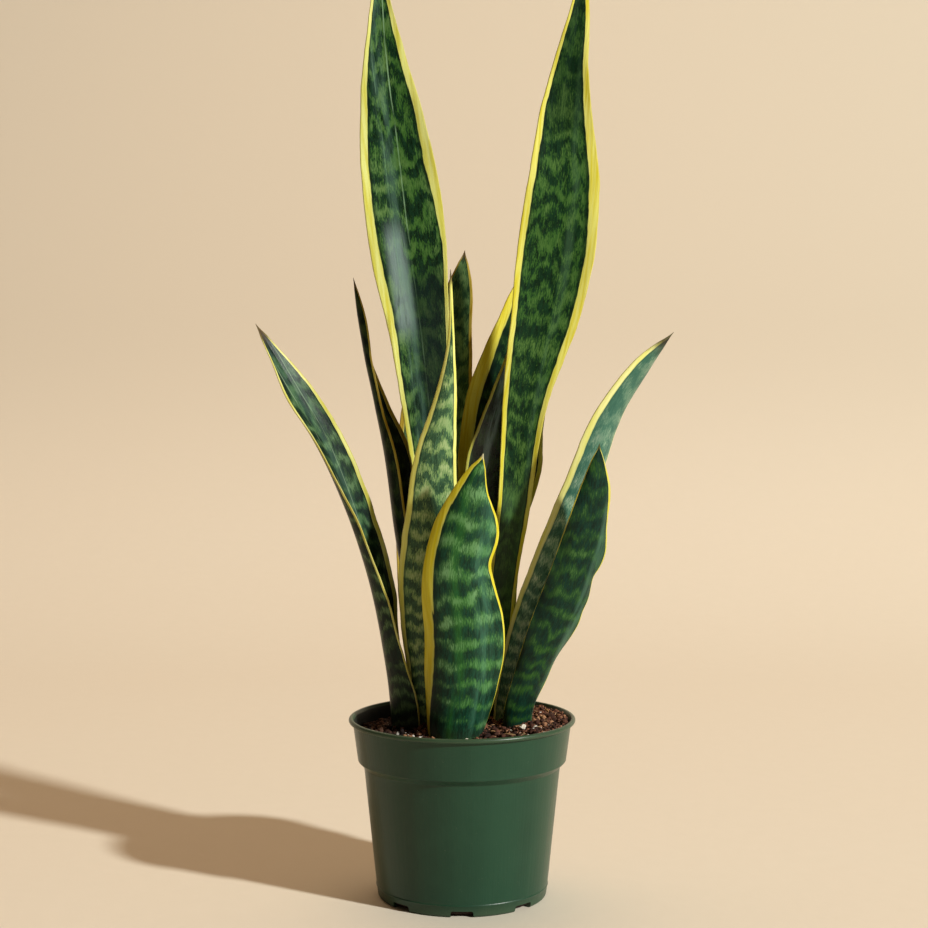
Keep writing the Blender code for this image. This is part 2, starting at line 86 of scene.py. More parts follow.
# ---- Leaf shapes
# Each row is height above the soil line, x, y, width, turn and cup, as in the CAD.
LEAVES = {
    "leaf_tall_left": [
        (0, -12, 19, 28, 0, -62), (70, -14, 18, 26, 0, -50), (140, -18, 17, 27, 0, -38),
        (200, -22, 15, 32, 0, -28), (280, -30, 12, 43, 0, -20), (360, -40, 9, 56, 0, -16),
        (400, -45, 8, 55, 0, -16), (440, -50, 7, 47, 0, -18), (480, -55, 6, 33, 0, -20),
        (520, -58, 5, 17, 0, -24), (562, -60, 4, 1.2, 0, -30),
    ],
    "leaf_tall_right": [
        (0, 26, 16, 25, 0, -50), (80, 27, 14, 22, 0, -42), (160, 37, 11, 24, 0, -32),
        (240, 46, 9, 33, 0, -22), (320, 63, 7, 53, 0, -16), (360, 69, 6, 55, 0, -15),
        (400, 73, 5, 51, 0, -16), (440, 74, 4, 40, 0, -18), (480, 78, 3, 26, 0, -20),
        (520, 84, 3, 14, 0, -24), (566, 87, 2, 1.2, 0, -30),
    ],
    "leaf_centre": [
        (0, -25, -5, 30, 0, 60), (40, -25, -7, 31, 0, 48), (80, -27, -9, 37, 0, 36),
        (120, -25, -12, 41, 0, 26), (160, -22, -15, 37, 0, 22), (200, -19, -18, 30, 0, 20),
        (240, -12, -21, 17, 0, 24), (280, -8, -24, 6, 0, 30), (334, -8, -27, 1.2, 0, 30),
    ],
    "leaf_front_broad": [
        (0, -6, -35, 56, 0, 84), (40, 0, -37, 63, 0, 60), (80, 1, -39, 63, 0, 44),
        (120, -3, -42, 52, 0, 36), (160, 4, -44, 43, 0, 34), (180, 7, -45, 24, 0, 34),
        (205, 15, -46, 2, 0, 34),
    ],
    "leaf_outer_left": [
        (0, -48, 0, 40, 120, -70), (60, -56, 1, 40, 96, -74), (120, -68, 1, 40, 74, -74),
        (180, -87, -2, 36, 60, -60), (220, -104, -6, 31, 48, -44), (250, -121, -10, 25, 42, -34),
        (275, -135, -13, 12, 40, -30), (296, -147, -16, 1.2, 40, -30),
    ],
    "leaf_inner_left": [
        (0, -32, 15, 32, 100, -70), (80, -38, 16, 36, 86, -84), (150, -48, 18, 40, 70, -92),
        (200, -54, 20, 39, 64, -94), (240, -63, 22, 21, 76, -70), (270, -70, 24, 16, 96, -56),
        (300, -75, 26, 13, 115, -46), (331, -80, 28, 1.2, 115, -40),
    ],
    "leaf_back_centre": [
        (0, -17, 46, 38, 0, -52), (100, -22, 54, 56, 0, -38), (170, -21, 60, 58, 0, -30),
        (240, -18, 66, 53, 0, -24), (290, -9, 71, 34, 0, -22), (330, -1, 75, 17, 0, -24),
        (354, 2, 78, 1.2, 0, -30),
    ],
    "leaf_back_gold": [
        (0, 14, 38, 30, 0, -48), (90, 16, 41, 40, 0, -38), (180, 20, 47, 48, 0, -26),
        (240, 26, 52, 46, 0, -22), (290, 40, 56, 34, 0, -22), (330, 50, 60, 17, 0, -24),
        (358, 55, 63, 1.2, 0, -30),
    ],
    "leaf_back_right": [
        (0, 34, 28, 28, -6, -52), (80, 22, 27, 38, 0, -40), (150, 24, 27, 46, 0, -30),
        (200, 32, 27, 56, 0, -22), (220, 36, 26, 48, 0, -20), (240, 41, 26, 42, 0, -20),
        (280, 48, 26, 24, 0, -22), (306, 51, 26, 1.2, 0, -30),
    ],
    "leaf_outer_right": [
        (0, 36, -4, 29, 0, 52), (60, 46, -5, 32, 10, 46), (120, 65, -8, 32, 20, 40),
        (180, 88, -12, 31, 30, 34), (240, 112, -16, 24, 35, 30), (270, 133, -19, 17, 38, 30),
        (290, 150, -22, 1.2, 40, 30),
    ],
    "leaf_short_right": [
        (0, 40, -17, 24, 18, 50), (40, 49, -21, 26, 18, 40), (80, 66, -27, 36, 18, 30),
        (120, 81, -33, 37, 18, 26), (160, 91, -39, 30, 18, 26), (190, 95, -43, 17, 18, 28),
        (212, 96, -46, 1.2, 18, 30),
    ],
}

# Ripple along a leaf's edges: how far it swings and the length of one wave.
RIPPLES = {
    "leaf_front_broad": (0.6, 70),
    "leaf_outer_left": (0.5, 60),
    "leaf_short_right": (1.2, 46),
    "leaf_tall_left": (0.8, 110),
    "leaf_tall_right": (0.8, 120),
}
# Where an edge is drawn in, or stands out if the depth is below zero: height, side, depth
# and half length.
DENTS = {
    "leaf_front_broad": [(131, 1, 1.6, 9), (152, 1, -1.6, 12), (60, -1, 0.7, 14)],
    "leaf_short_right": [
        (119, 1, 2.2, 6), (94, 1, 1.5, 5), (105, 1, -0.9, 5), (70, 1, -1.4, 9), (138, 1, -1.0, 9),
    ],
    "leaf_tall_right": [(352, 1, -0.9, 20), (300, -1, 0.6, 18)],
    "leaf_tall_left": [(300, -1, 0.7, 22), (250, 1, -0.6, 20)],
    "leaf_centre": [(60, 1, 0.6, 14), (110, -1, -0.6, 16)],
    "leaf_outer_left": [(150, 1, 0.8, 16), (95, 1, -0.7, 14)],
    "leaf_outer_right": [(150, -1, 0.6, 14), (210, -1, -0.5, 12)],
}


# ---- Colours
def srgb(red, green, blue):
    """The linear colour of an sRGB colour given from 0 to 255."""
    made = []
    for value in (red, green, blue):
        share = value / 255
        made.append(share / 12.92 if share <= 0.04045 else ((share + 0.055) / 1.055) ** 2.4)
    return tuple(made)


class Graph:
    """Builds one material's nodes, each call returning the new node's output socket."""

    def __init__(self, name):
        self.material = bpy.data.materials.new(name)
        self.material.use_nodes = True
        self.tree = self.material.node_tree
        self.shader = self.tree.nodes["Principled BSDF"]

    def feed(self, socket, value):
        if isinstance(value, bpy.types.NodeSocket):
            self.tree.links.new(value, socket)
        elif isinstance(value, tuple) and len(value) == 3 and socket.type == "RGBA":
            socket.default_value = (*value, 1)
        else:
            socket.default_value = value

    def node(self, kind, *values):
        """A new node whose first sockets take the values."""
        node = self.tree.nodes.new("ShaderNode" + kind)
        for socket, value in zip(node.inputs, values):
            self.feed(socket, value)
        return node

    def attribute(self, name, output="Fac"):
        node = self.node("Attribute")
        node.attribute_name = name
        return node.outputs[output]

    def position(self):
        return self.node("TexCoord").outputs["Object"]

    def split(self, vector):
        return self.node("SeparateXYZ", vector).outputs

    def join(self, x, y, z):
        return self.node("CombineXYZ", x, y, z).outputs[0]

    def math(self, operation, first, second=0.0):
        node = self.node("Math", first, second)
        node.operation = operation
        return node.outputs[0]

    def add(self, *terms):
        total = terms[0]
        for term in terms[1:]:
            total = self.math("ADD", total, term)
        return total

    def times(self, first, second):
        return self.math("MULTIPLY", first, second)

    def centred(self, fac, size):
        """A noise of mean one half, turned to one of mean 0 that swings by about size."""
        return self.times(self.math("SUBTRACT", fac, 0.5), 2 * size)

    def noise(self, vector, scale, detail, roughness=0.5):
        return self.node("TexNoise", vector, 0.0, scale, detail, roughness).outputs["Fac"]

    def cells(self, vector, scale):
        return self.node("TexVoronoi", vector, 0.0, scale).outputs["Distance"]

    def step(self, value, low, high, start=0.0, end=1.0):
        """A smooth rise from start to end as value goes from low to high."""
        node = self.node("MapRange", value, low, high, start, end)
        node.interpolation_type = "SMOOTHSTEP"
        return node.outputs[0]

    def ramp(self, fac, stops):
        node = self.node("ValToRGB", fac)
        band = node.color_ramp
        while len(band.elements) < len(stops):
            band.elements.new(0.5)
        for element, (place, colour) in zip(band.elements, stops):
            element.position = place
            element.color = (*colour, 1)
        return node.outputs[0]

    def mix(self, fac, first, second):
        node = self.node("Mix", fac)
        node.data_type = "RGBA"
        self.feed(node.inputs[6], first)
        self.feed(node.inputs[7], second)
        return node.outputs[2]

    def lay(self, mask, strength, base, colour):
        """The base with a colour laid over it where the mask is, as thick as strength."""
        return self.mix(self.times(mask, strength), base, colour)

    def bump(self, height, distance, strength):
        node = self.node("Bump", strength, distance)
        self.feed(node.inputs["Height"], height)
        return node.outputs[0]

    def finish(self, **sockets):
        for name, value in sockets.items():
            self.feed(self.shader.inputs[name.replace("_", " ")], value)
        return self.material


# ---- Mesh helpers
def link(name, data):
    """A new object in the scene."""
    obj = bpy.data.objects.new(name, data)
    bpy.context.scene.collection.objects.link(obj)
    return obj


def new_mesh(name, points, faces):
    mesh = bpy.data.meshes.new(name)
    mesh.from_pydata([tuple(p) for p in points], [], faces)
    return mesh


def make_object(name, points, faces, material, replaces=(), uv=None):
    """A piece that rides on the pot, with smooth shading."""
    mesh = new_mesh(name, points, faces)
    mesh.materials.append(material)
    if uv is not None:
        layer = mesh.uv_layers.new(name="OFBake")
        layer.uv.foreach_set("vector", np.asarray(uv, np.float32).ravel())
    mesh.shade_smooth()
    obj = link(name, mesh)
    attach(obj, BODY)
    if replaces:
        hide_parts(*replaces)
    return obj


def heal_normals(obj):
    """Turns every face outwards."""
    work = bmesh.new()
    work.from_mesh(obj.data)
    bmesh.ops.recalc_face_normals(work, faces=work.faces)
    work.to_mesh(obj.data)
    work.free()


def ring_faces(first, rings, size):
    """Faces between rings of size points each, of which the first starts at point first."""
    faces = []
    for row in range(first, first + (rings - 1) * size, size):
        for j in range(size):
            k = (j + 1) % size
            faces.append((row + j, row + k, row + size + k, row + size + j))
    return faces


def closed_faces(rings, size):
    """The same for rings between a point 0 and a last point, on which they close."""
    faces = ring_faces(1, rings, size)
    last = 1 + (rings - 1) * size
    for j in range(size):
        k = (j + 1) % size
        faces += [(0, 1 + k, 1 + j), (last + j, last + k, last + size)]
    return faces


def store(obj, name, values, kind="FLOAT"):
    values = np.asarray(values, np.float32)
    layer = obj.data.attributes.new(name, kind, "POINT")
    layer.data.foreach_set("vector" if kind == "FLOAT_VECTOR" else "value", values.ravel())


def smooth_curve(knots, values, places):
    """Values at places on a smooth curve through every row of values at the knots."""
    knots = np.asarray(knots, float)
    values = np.asarray(values, float)
    slopes = np.gradient(values, knots, axis=0)
    spans = np.clip(np.searchsorted(knots, places, side="right") - 1, 0, len(knots) - 2)
    length = (knots[spans + 1] - knots[spans])[:, None]
    t = (places[:, None] - knots[spans][:, None]) / length
    start = (1 + 2 * t) * (1 - t) ** 2 * values[spans]
    end = t * t * (3 - 2 * t) * values[spans + 1]
    leave = t * (1 - t) ** 2 * length * slopes[spans]
    arrive = t * t * (t - 1) * length * slopes[spans + 1]
    return start + end + leave + arrive


def wander(places, seed):
    """A smooth line of small swings, about -1 to 1, along the given places."""
    return np.array([noise.noise(Vector((p, seed * 7.3, 1.9))) for p in places]) * 1.6


# ---- Leaves
ROW_STEP = 2.0  # between rows of points along a leaf
COLUMNS = 37  # points across each face of a leaf
SECTION = np.sin(np.linspace(-1, 1, COLUMNS) * 1.35) / math.sin(1.35)
KEEL_WIDTH = 0.10  # share of the half width over which the middle line is sunk
TIP_LENGTH = 9.0  # over which the tip closes to a point
KEEL = 0.3  # depth of the sunk middle line
SWAY = 0.35  # how far the blade twists and bows along its length
EDGE_SWINGS = ((0.30, 17), (0.12, 5))  # (how far each edge swings in and out, over what length)


def leaf_mesh(name, seed, keel=KEEL):
    """Rings of points for a leaf, from its foot to its tip, and what its material reads."""
    table = np.array(LEAVES[name], float)
    foot = table[0] * (1, 1, 1, FOOT_SHARE, 1, 1)
    foot[0] = -LEAF_FOOT / MM
    table = np.vstack([foot, table])
    top = table[-1, 0]
    heights = np.linspace(table[0, 0], top, round((top - table[0, 0]) / ROW_STEP) + 1)
    rows = smooth_curve(table[:, 0], table[:, 1:], heights)
    spine = np.column_stack([rows[:, 0], rows[:, 1], heights]) * MM
    spine[:, 2] += SOIL_LINE
    to_tip = top - heights
    closing = np.sqrt(np.clip(to_tip / TIP_LENGTH, 0.0, 1.0))
    width = np.maximum(rows[:, 2], 1.0) * MM * np.maximum(closing, 0.25)
    turn, cup = np.radians(rows[:, 3]), np.radians(rows[:, 4])
    along = np.gradient(spine, axis=0)
    along /= np.linalg.norm(along, axis=1)[:, None]
    across = np.column_stack([np.cos(turn), np.sin(turn), np.zeros(len(turn))])
    across -= along * np.sum(across * along, axis=1)[:, None]
    across /= np.linalg.norm(across, axis=1)[:, None]
    facing = np.cross(across, along)

    # Each edge swings in and out on its own.
    broad = np.minimum(width / (20 * MM), 1)
    drawn_in = {}
    for edge in (-1, 1):
        (wide, slow), (slight, quick) = EDGE_SWINGS
        swing = wide * wander(heights / slow, seed + edge) + slight * wander(heights / quick, seed - edge)
        for height, where, depth, length in DENTS.get(name, ()):
            if where == edge:
                swing = swing + depth * np.exp(-(((heights - height) / length) ** 2))
        drawn_in[edge] = swing * MM * broad * np.clip(heights / 20, 0, 1)
    s = SECTION[None, :] * np.ones((len(heights), 1))
    pull = np.where(s < 0, drawn_in[-1][:, None], drawn_in[1][:, None]) / (width[:, None] / 2)
    s_placed = s * (1 - pull * np.abs(s))
    radius = (width / (2 * np.abs(cup)))[:, None]
    angle = np.abs(cup)[:, None] * s_placed
    side = np.sign(cup)[:, None]
    normal = across[:, None] * (side * np.sin(angle))[..., None]
    normal = normal + facing[:, None] * np.cos(angle)[..., None]
    middle = (
        spine[:, None]
        + across[:, None] * (radius * np.sin(angle))[..., None]
        - facing[:, None] * (side * radius * (1 - np.cos(angle)))[..., None]
    )
    swing, wave = RIPPLES.get(name, (0.0, 1.0))
    ripple = swing * MM * np.abs(s) ** 3 * np.sin(2 * math.pi * heights[:, None] / wave + 2 * s)
    ripple += SWAY * MM * s * wander(heights / 46, seed + 5)[:, None]
    ripple += 0.5 * SWAY * MM * (s**2) * wander(heights / 23, seed + 9)[:, None]
    ripple *= broad[:, None]
    slim = np.minimum(width / (24 * MM), 1)[:, None] ** 0.7
    half = 0.5 * (LEAF_EDGE + (LEAF_THICKNESS - LEAF_EDGE) * (1 - s**2) ** 0.8) * slim
    groove = keel * MM * slim * np.exp(-((s / KEEL_WIDTH) ** 2))
    front = middle + normal * (ripple + half - groove * 0.6)[..., None]
    back = middle + normal * (ripple - half - groove * 0.4)[..., None]

    # The edges are rounded by one more row of points on each side.
    outward = across[:, None] * np.cos(angle)[..., None]
    outward = outward - facing[:, None] * (side * np.sin(angle))[..., None]
    right = (front[:, -1] + back[:, -1]) / 2 + outward[:, -1] * half[:, -1:] * 0.9
    left = (front[:, 0] + back[:, 0]) / 2 - outward[:, 0] * half[:, :1] * 0.9
    rings = np.concatenate([front, right[:, None], back[:, ::-1], left[:, None]], axis=1)
    run = np.concatenate([[0], np.cumsum(np.linalg.norm(np.diff(spine, axis=0), axis=1))])
    run -= np.interp(0, heights, run)
    full = width[:, None] / 2 * s_placed
    end = width[:, None] / 2
    place = np.concatenate([full, end, full[:, ::-1], -end], axis=1)
    edges = (end - drawn_in[-1][:, None], end - drawn_in[1][:, None])
    return rings, {"run": run, "place": place, "edges": edges, "to_tip": to_tip * MM}


def build_leaf(name, looks):
    rings, facts = leaf_mesh(name, looks["seed"], looks.get("keel", KEEL))
    count, size = rings.shape[:2]
    points = [*rings.reshape(-1, 3), rings[0].mean(axis=0), rings[-1].mean(axis=0)]
    girth = np.linalg.norm(np.roll(rings, -1, axis=1) - rings, axis=2).mean(axis=0)
    u = np.concatenate([[0], np.cumsum(girth)]) / girth.sum() * 0.96 + 0.02
    v = np.linspace(0.03, 0.97, count)
    faces, uv = ring_faces(0, count, size), []
    for i in range(count - 1):
        for j in range(size):
            uv += [(u[j], v[i]), (u[j + 1], v[i]), (u[j + 1], v[i + 1]), (u[j], v[i + 1])]
    ends = ((0, count * size, 0.01, 0.02), (count - 1, count * size + 1, 0.99, 0.98))
    for ring, centre, level, edge in ends:
        for j in range(size):
            k = (j + 1) % size
            corners = (ring * size + j, centre, ring * size + k)
            faces.append(corners if ring == 0 else corners[::-1])
            fan = [(u[j], edge), ((u[j] + u[j + 1]) / 2, level), (u[j + 1], edge)]
            uv += fan if ring == 0 else fan[::-1]
    material = leaf_material(name, looks)
    obj = make_object(name + "_blade", points, faces, material, [name], uv)
    heal_normals(obj)

    # What the material reads: place across and along, distance from the margins, the tip.
    run, place, (left_edge, right_edge) = facts["run"], facts["place"], facts["edges"]
    height = np.linspace(-LEAF_FOOT, LEAVES[name][-1][0] * MM, count)
    left = at_heights(looks["left"], height)[:, None]
    right = at_heights(looks["right"], height)[:, None]
    left_in, right_in = left_edge + place, right_edge - place
    margin = np.minimum(left_in / left, right_in / right)
    rim = np.minimum(left_in, right_in)
    back = np.zeros(size)
    back[COLUMNS:] = 1.0
    along = np.repeat(run[:, None], size, 1)
    blade = np.stack([place, along, np.tile(back, (count, 1))], axis=2).reshape(-1, 3) / (MM, MM, 1)
    pitch = looks.get("pitch", BLADE["pitch"])
    bands = np.cumsum(np.gradient(height) / at_heights(pitch, height))
    store(obj, "blade", np.vstack([blade, np.zeros((2, 3))]), "FLOAT_VECTOR")
    for title, values in (
        ("margin", margin),
        ("rim_distance", rim / MM),
        ("tip_distance", np.repeat(facts["to_tip"][:, None], size, 1) / MM),
        ("band_phase", np.repeat(bands[:, None], size, 1)),
    ):
        values = values.ravel()
        store(obj, title, np.append(values, [values[0], values[-1]]))


def at_heights(stations, height):
    """Metres at each height, from (height, value) pairs in millimetres."""
    knots, values = zip(*stations)
    return np.interp(height / MM, knots, values) * MM


def leaf_material(name, looks):
    """Broken zigzag bands of dark streaks on green, yellow margins, a dry tip, and stripes, some of them
    painted highlights, painted sheen and painted shade.
    """
    look = {**BLADE, **looks}
    g = Graph(name)
    across, along, back = g.split(g.attribute("blade", "Vector"))
    phase = g.add(g.attribute("band_phase"), g.times(back, 0.37))

    def field(wide, long, shift, detail=2.0, roughness=0.5):
        """A noise whose grains are wide by long millimetres."""
        spot = g.join(
            g.math("DIVIDE", across, wide),
            g.math("DIVIDE", along, long),
            g.add(g.times(back, 5.0), 31.7 * look["seed"] + shift),
        )
        return g.noise(spot, 1.0, detail, roughness)

    dark_tone, dark_tone2, mid, light, fresh = (srgb(*colour) for colour in look["greens"])
    gold, lemon = (srgb(*colour) for colour in look["yellows"])
    chevrons = field(look["zigzag_width"], 30.0, 0.0, 1.0)
    streaks = field(1.3, 8.0, 11.0, 3.0, 0.6)
    fibres = field(0.40, 9.0, 23.0, 2.0, 0.6)
    patches = field(10.0, 22.0, 37.0, 2.0)
    flecks = field(0.72, 3.6, 53.0, 3.0, 0.68)

    # The bands: a wave along the blade, bent into chevrons and broken up into flecks.
    bent = g.add(phase, g.centred(chevrons, look["zigzag"]), g.centred(streaks, look["ragged"]))
    wave = g.times(g.math("SINE", g.times(bent, 2 * math.pi)), 0.5 * look["bands"])
    value = g.add(
        wave,
        g.centred(patches, look["patchy"]),
        g.centred(flecks, look["fleck"]),
        g.centred(streaks, 0.30),
        g.step(along, look["dark_low"], 0.0, 0.0, 0.30),
        look["lift"],
    )
    dark = g.step(value, -look["blur"], look["blur"])
    pale = g.step(g.add(value, g.centred(fibres, 0.25)), -0.12, -0.55)
    green = g.mix(pale, mid, light)
    green = g.lay(g.step(field(14.0, 70.0, 61.0), 0.42, 0.66), 0.55, green, fresh)
    deep = g.mix(g.step(g.add(streaks, g.centred(flecks, 0.3)), 0.38, 0.66), dark_tone, dark_tone2)
    green = g.lay(dark, look["depth"], green, deep)
    lines = g.step(g.add(fibres, g.centred(flecks, 0.35)), 0.60, 0.84)
    green = g.lay(lines, 0.20, green, light)

    # Lines and broad stripes along the front of the blade; some stripes are painted highlights and
    # painted sheen, others painted shade and painted light, as noted at each leaf.
    for place, width, strength, colour, *window in look["stripes"]:
        off = g.math("ABSOLUTE", g.add(across, -place, g.centred(field(30.0, 60.0, 83.0), 0.9)))
        stripe = g.step(off, width, width * 0.2)
        if window:
            stripe = g.times(stripe, g.step(along, window[0], window[0] + 25.0))
            stripe = g.times(stripe, g.step(along, window[1], window[1] - 25.0))
        start, full = (0.30, 0.62) if width < 10 else (0.05, 0.42)
        broken = g.add(field(5.0, 34.0, 89.0), g.centred(fibres, 0.2))
        stripe = g.times(stripe, g.step(broken, start, full))
        stripe = g.times(stripe, g.step(back, 0.6, 0.4))
        green = g.lay(stripe, strength, green, srgb(*colour))

    # The margins, feathered along the blade where they meet the green.
    margin = g.add(g.attribute("margin"), g.centred(field(2.2, 18.0, 97.0, 3.0), 0.16))
    yellow = g.mix(g.step(field(2.4, 40.0, 101.0), 0.30, 0.70), gold, lemon)
    yellow = g.lay(g.step(flecks, 0.62, 0.80), 0.30, yellow, srgb(150, 140, 40))
    yellow = g.lay(g.step(margin, 0.72, 0.96), 0.45, yellow, srgb(*look["seam"]))
    beside = g.times(g.step(margin, 0.98, 1.05), g.step(margin, 1.55, 1.10))
    green = g.lay(beside, 0.70, green, dark_tone)
    colour = g.mix(g.step(margin, 1.04, 0.94), green, yellow)
    rim = g.add(g.attribute("rim_distance"), g.centred(field(3.0, 9.0, 107.0), 0.30))
    colour = g.lay(g.step(rim, 0.30, 0.06), look["edging"], colour, srgb(*look["edge"]))

    # Dry tip, a foot that is darker near the soil, and a few small scars.
    tip = g.add(g.attribute("tip_distance"), g.centred(field(3.0, 9.0, 113.0), 4.0))
    dry = g.step(tip, look["tip"] * 1.6, look["tip"] * 0.5)
    colour = g.lay(dry, 0.92, colour, srgb(*look["tip_colour"]))
    low = g.step(g.add(along, g.centred(flecks, 8.0)), 15.0, 1.0)
    colour = g.lay(low, 0.45, colour, srgb(34, 32, 20))
    scar = g.step(g.noise(g.position(), 210.0, 4.0, 0.72), 0.72, 0.78)
    colour = g.lay(scar, 0.30, colour, srgb(110, 96, 58))
    dust = g.step(g.noise(g.position(), 900.0, 3.0, 0.7), 0.62, 0.80)
    colour = g.lay(dust, 0.06, colour, srgb(205, 200, 180))

    rough = g.add(look["rough"], g.centred(flecks, 0.08), g.centred(streaks, 0.08), g.times(dust, 0.12))
    rough = g.add(rough, g.times(dry, 0.25))
    relief = g.add(g.times(fibres, 0.35), g.times(streaks, 0.55), g.times(field(3.2, 70.0, 127.0), 1.4))
    pores = g.cells(g.join(across, g.math("DIVIDE", along, 2.6), 0.0), 3.2)
    relief = g.add(relief, g.times(pores, 0.14))
    return g.finish(
        Base_Color=colour,
        Roughness=rough,
        Normal=g.bump(relief, 0.00024, 0.9),
        Specular_IOR_Level=look["gloss"],
    )


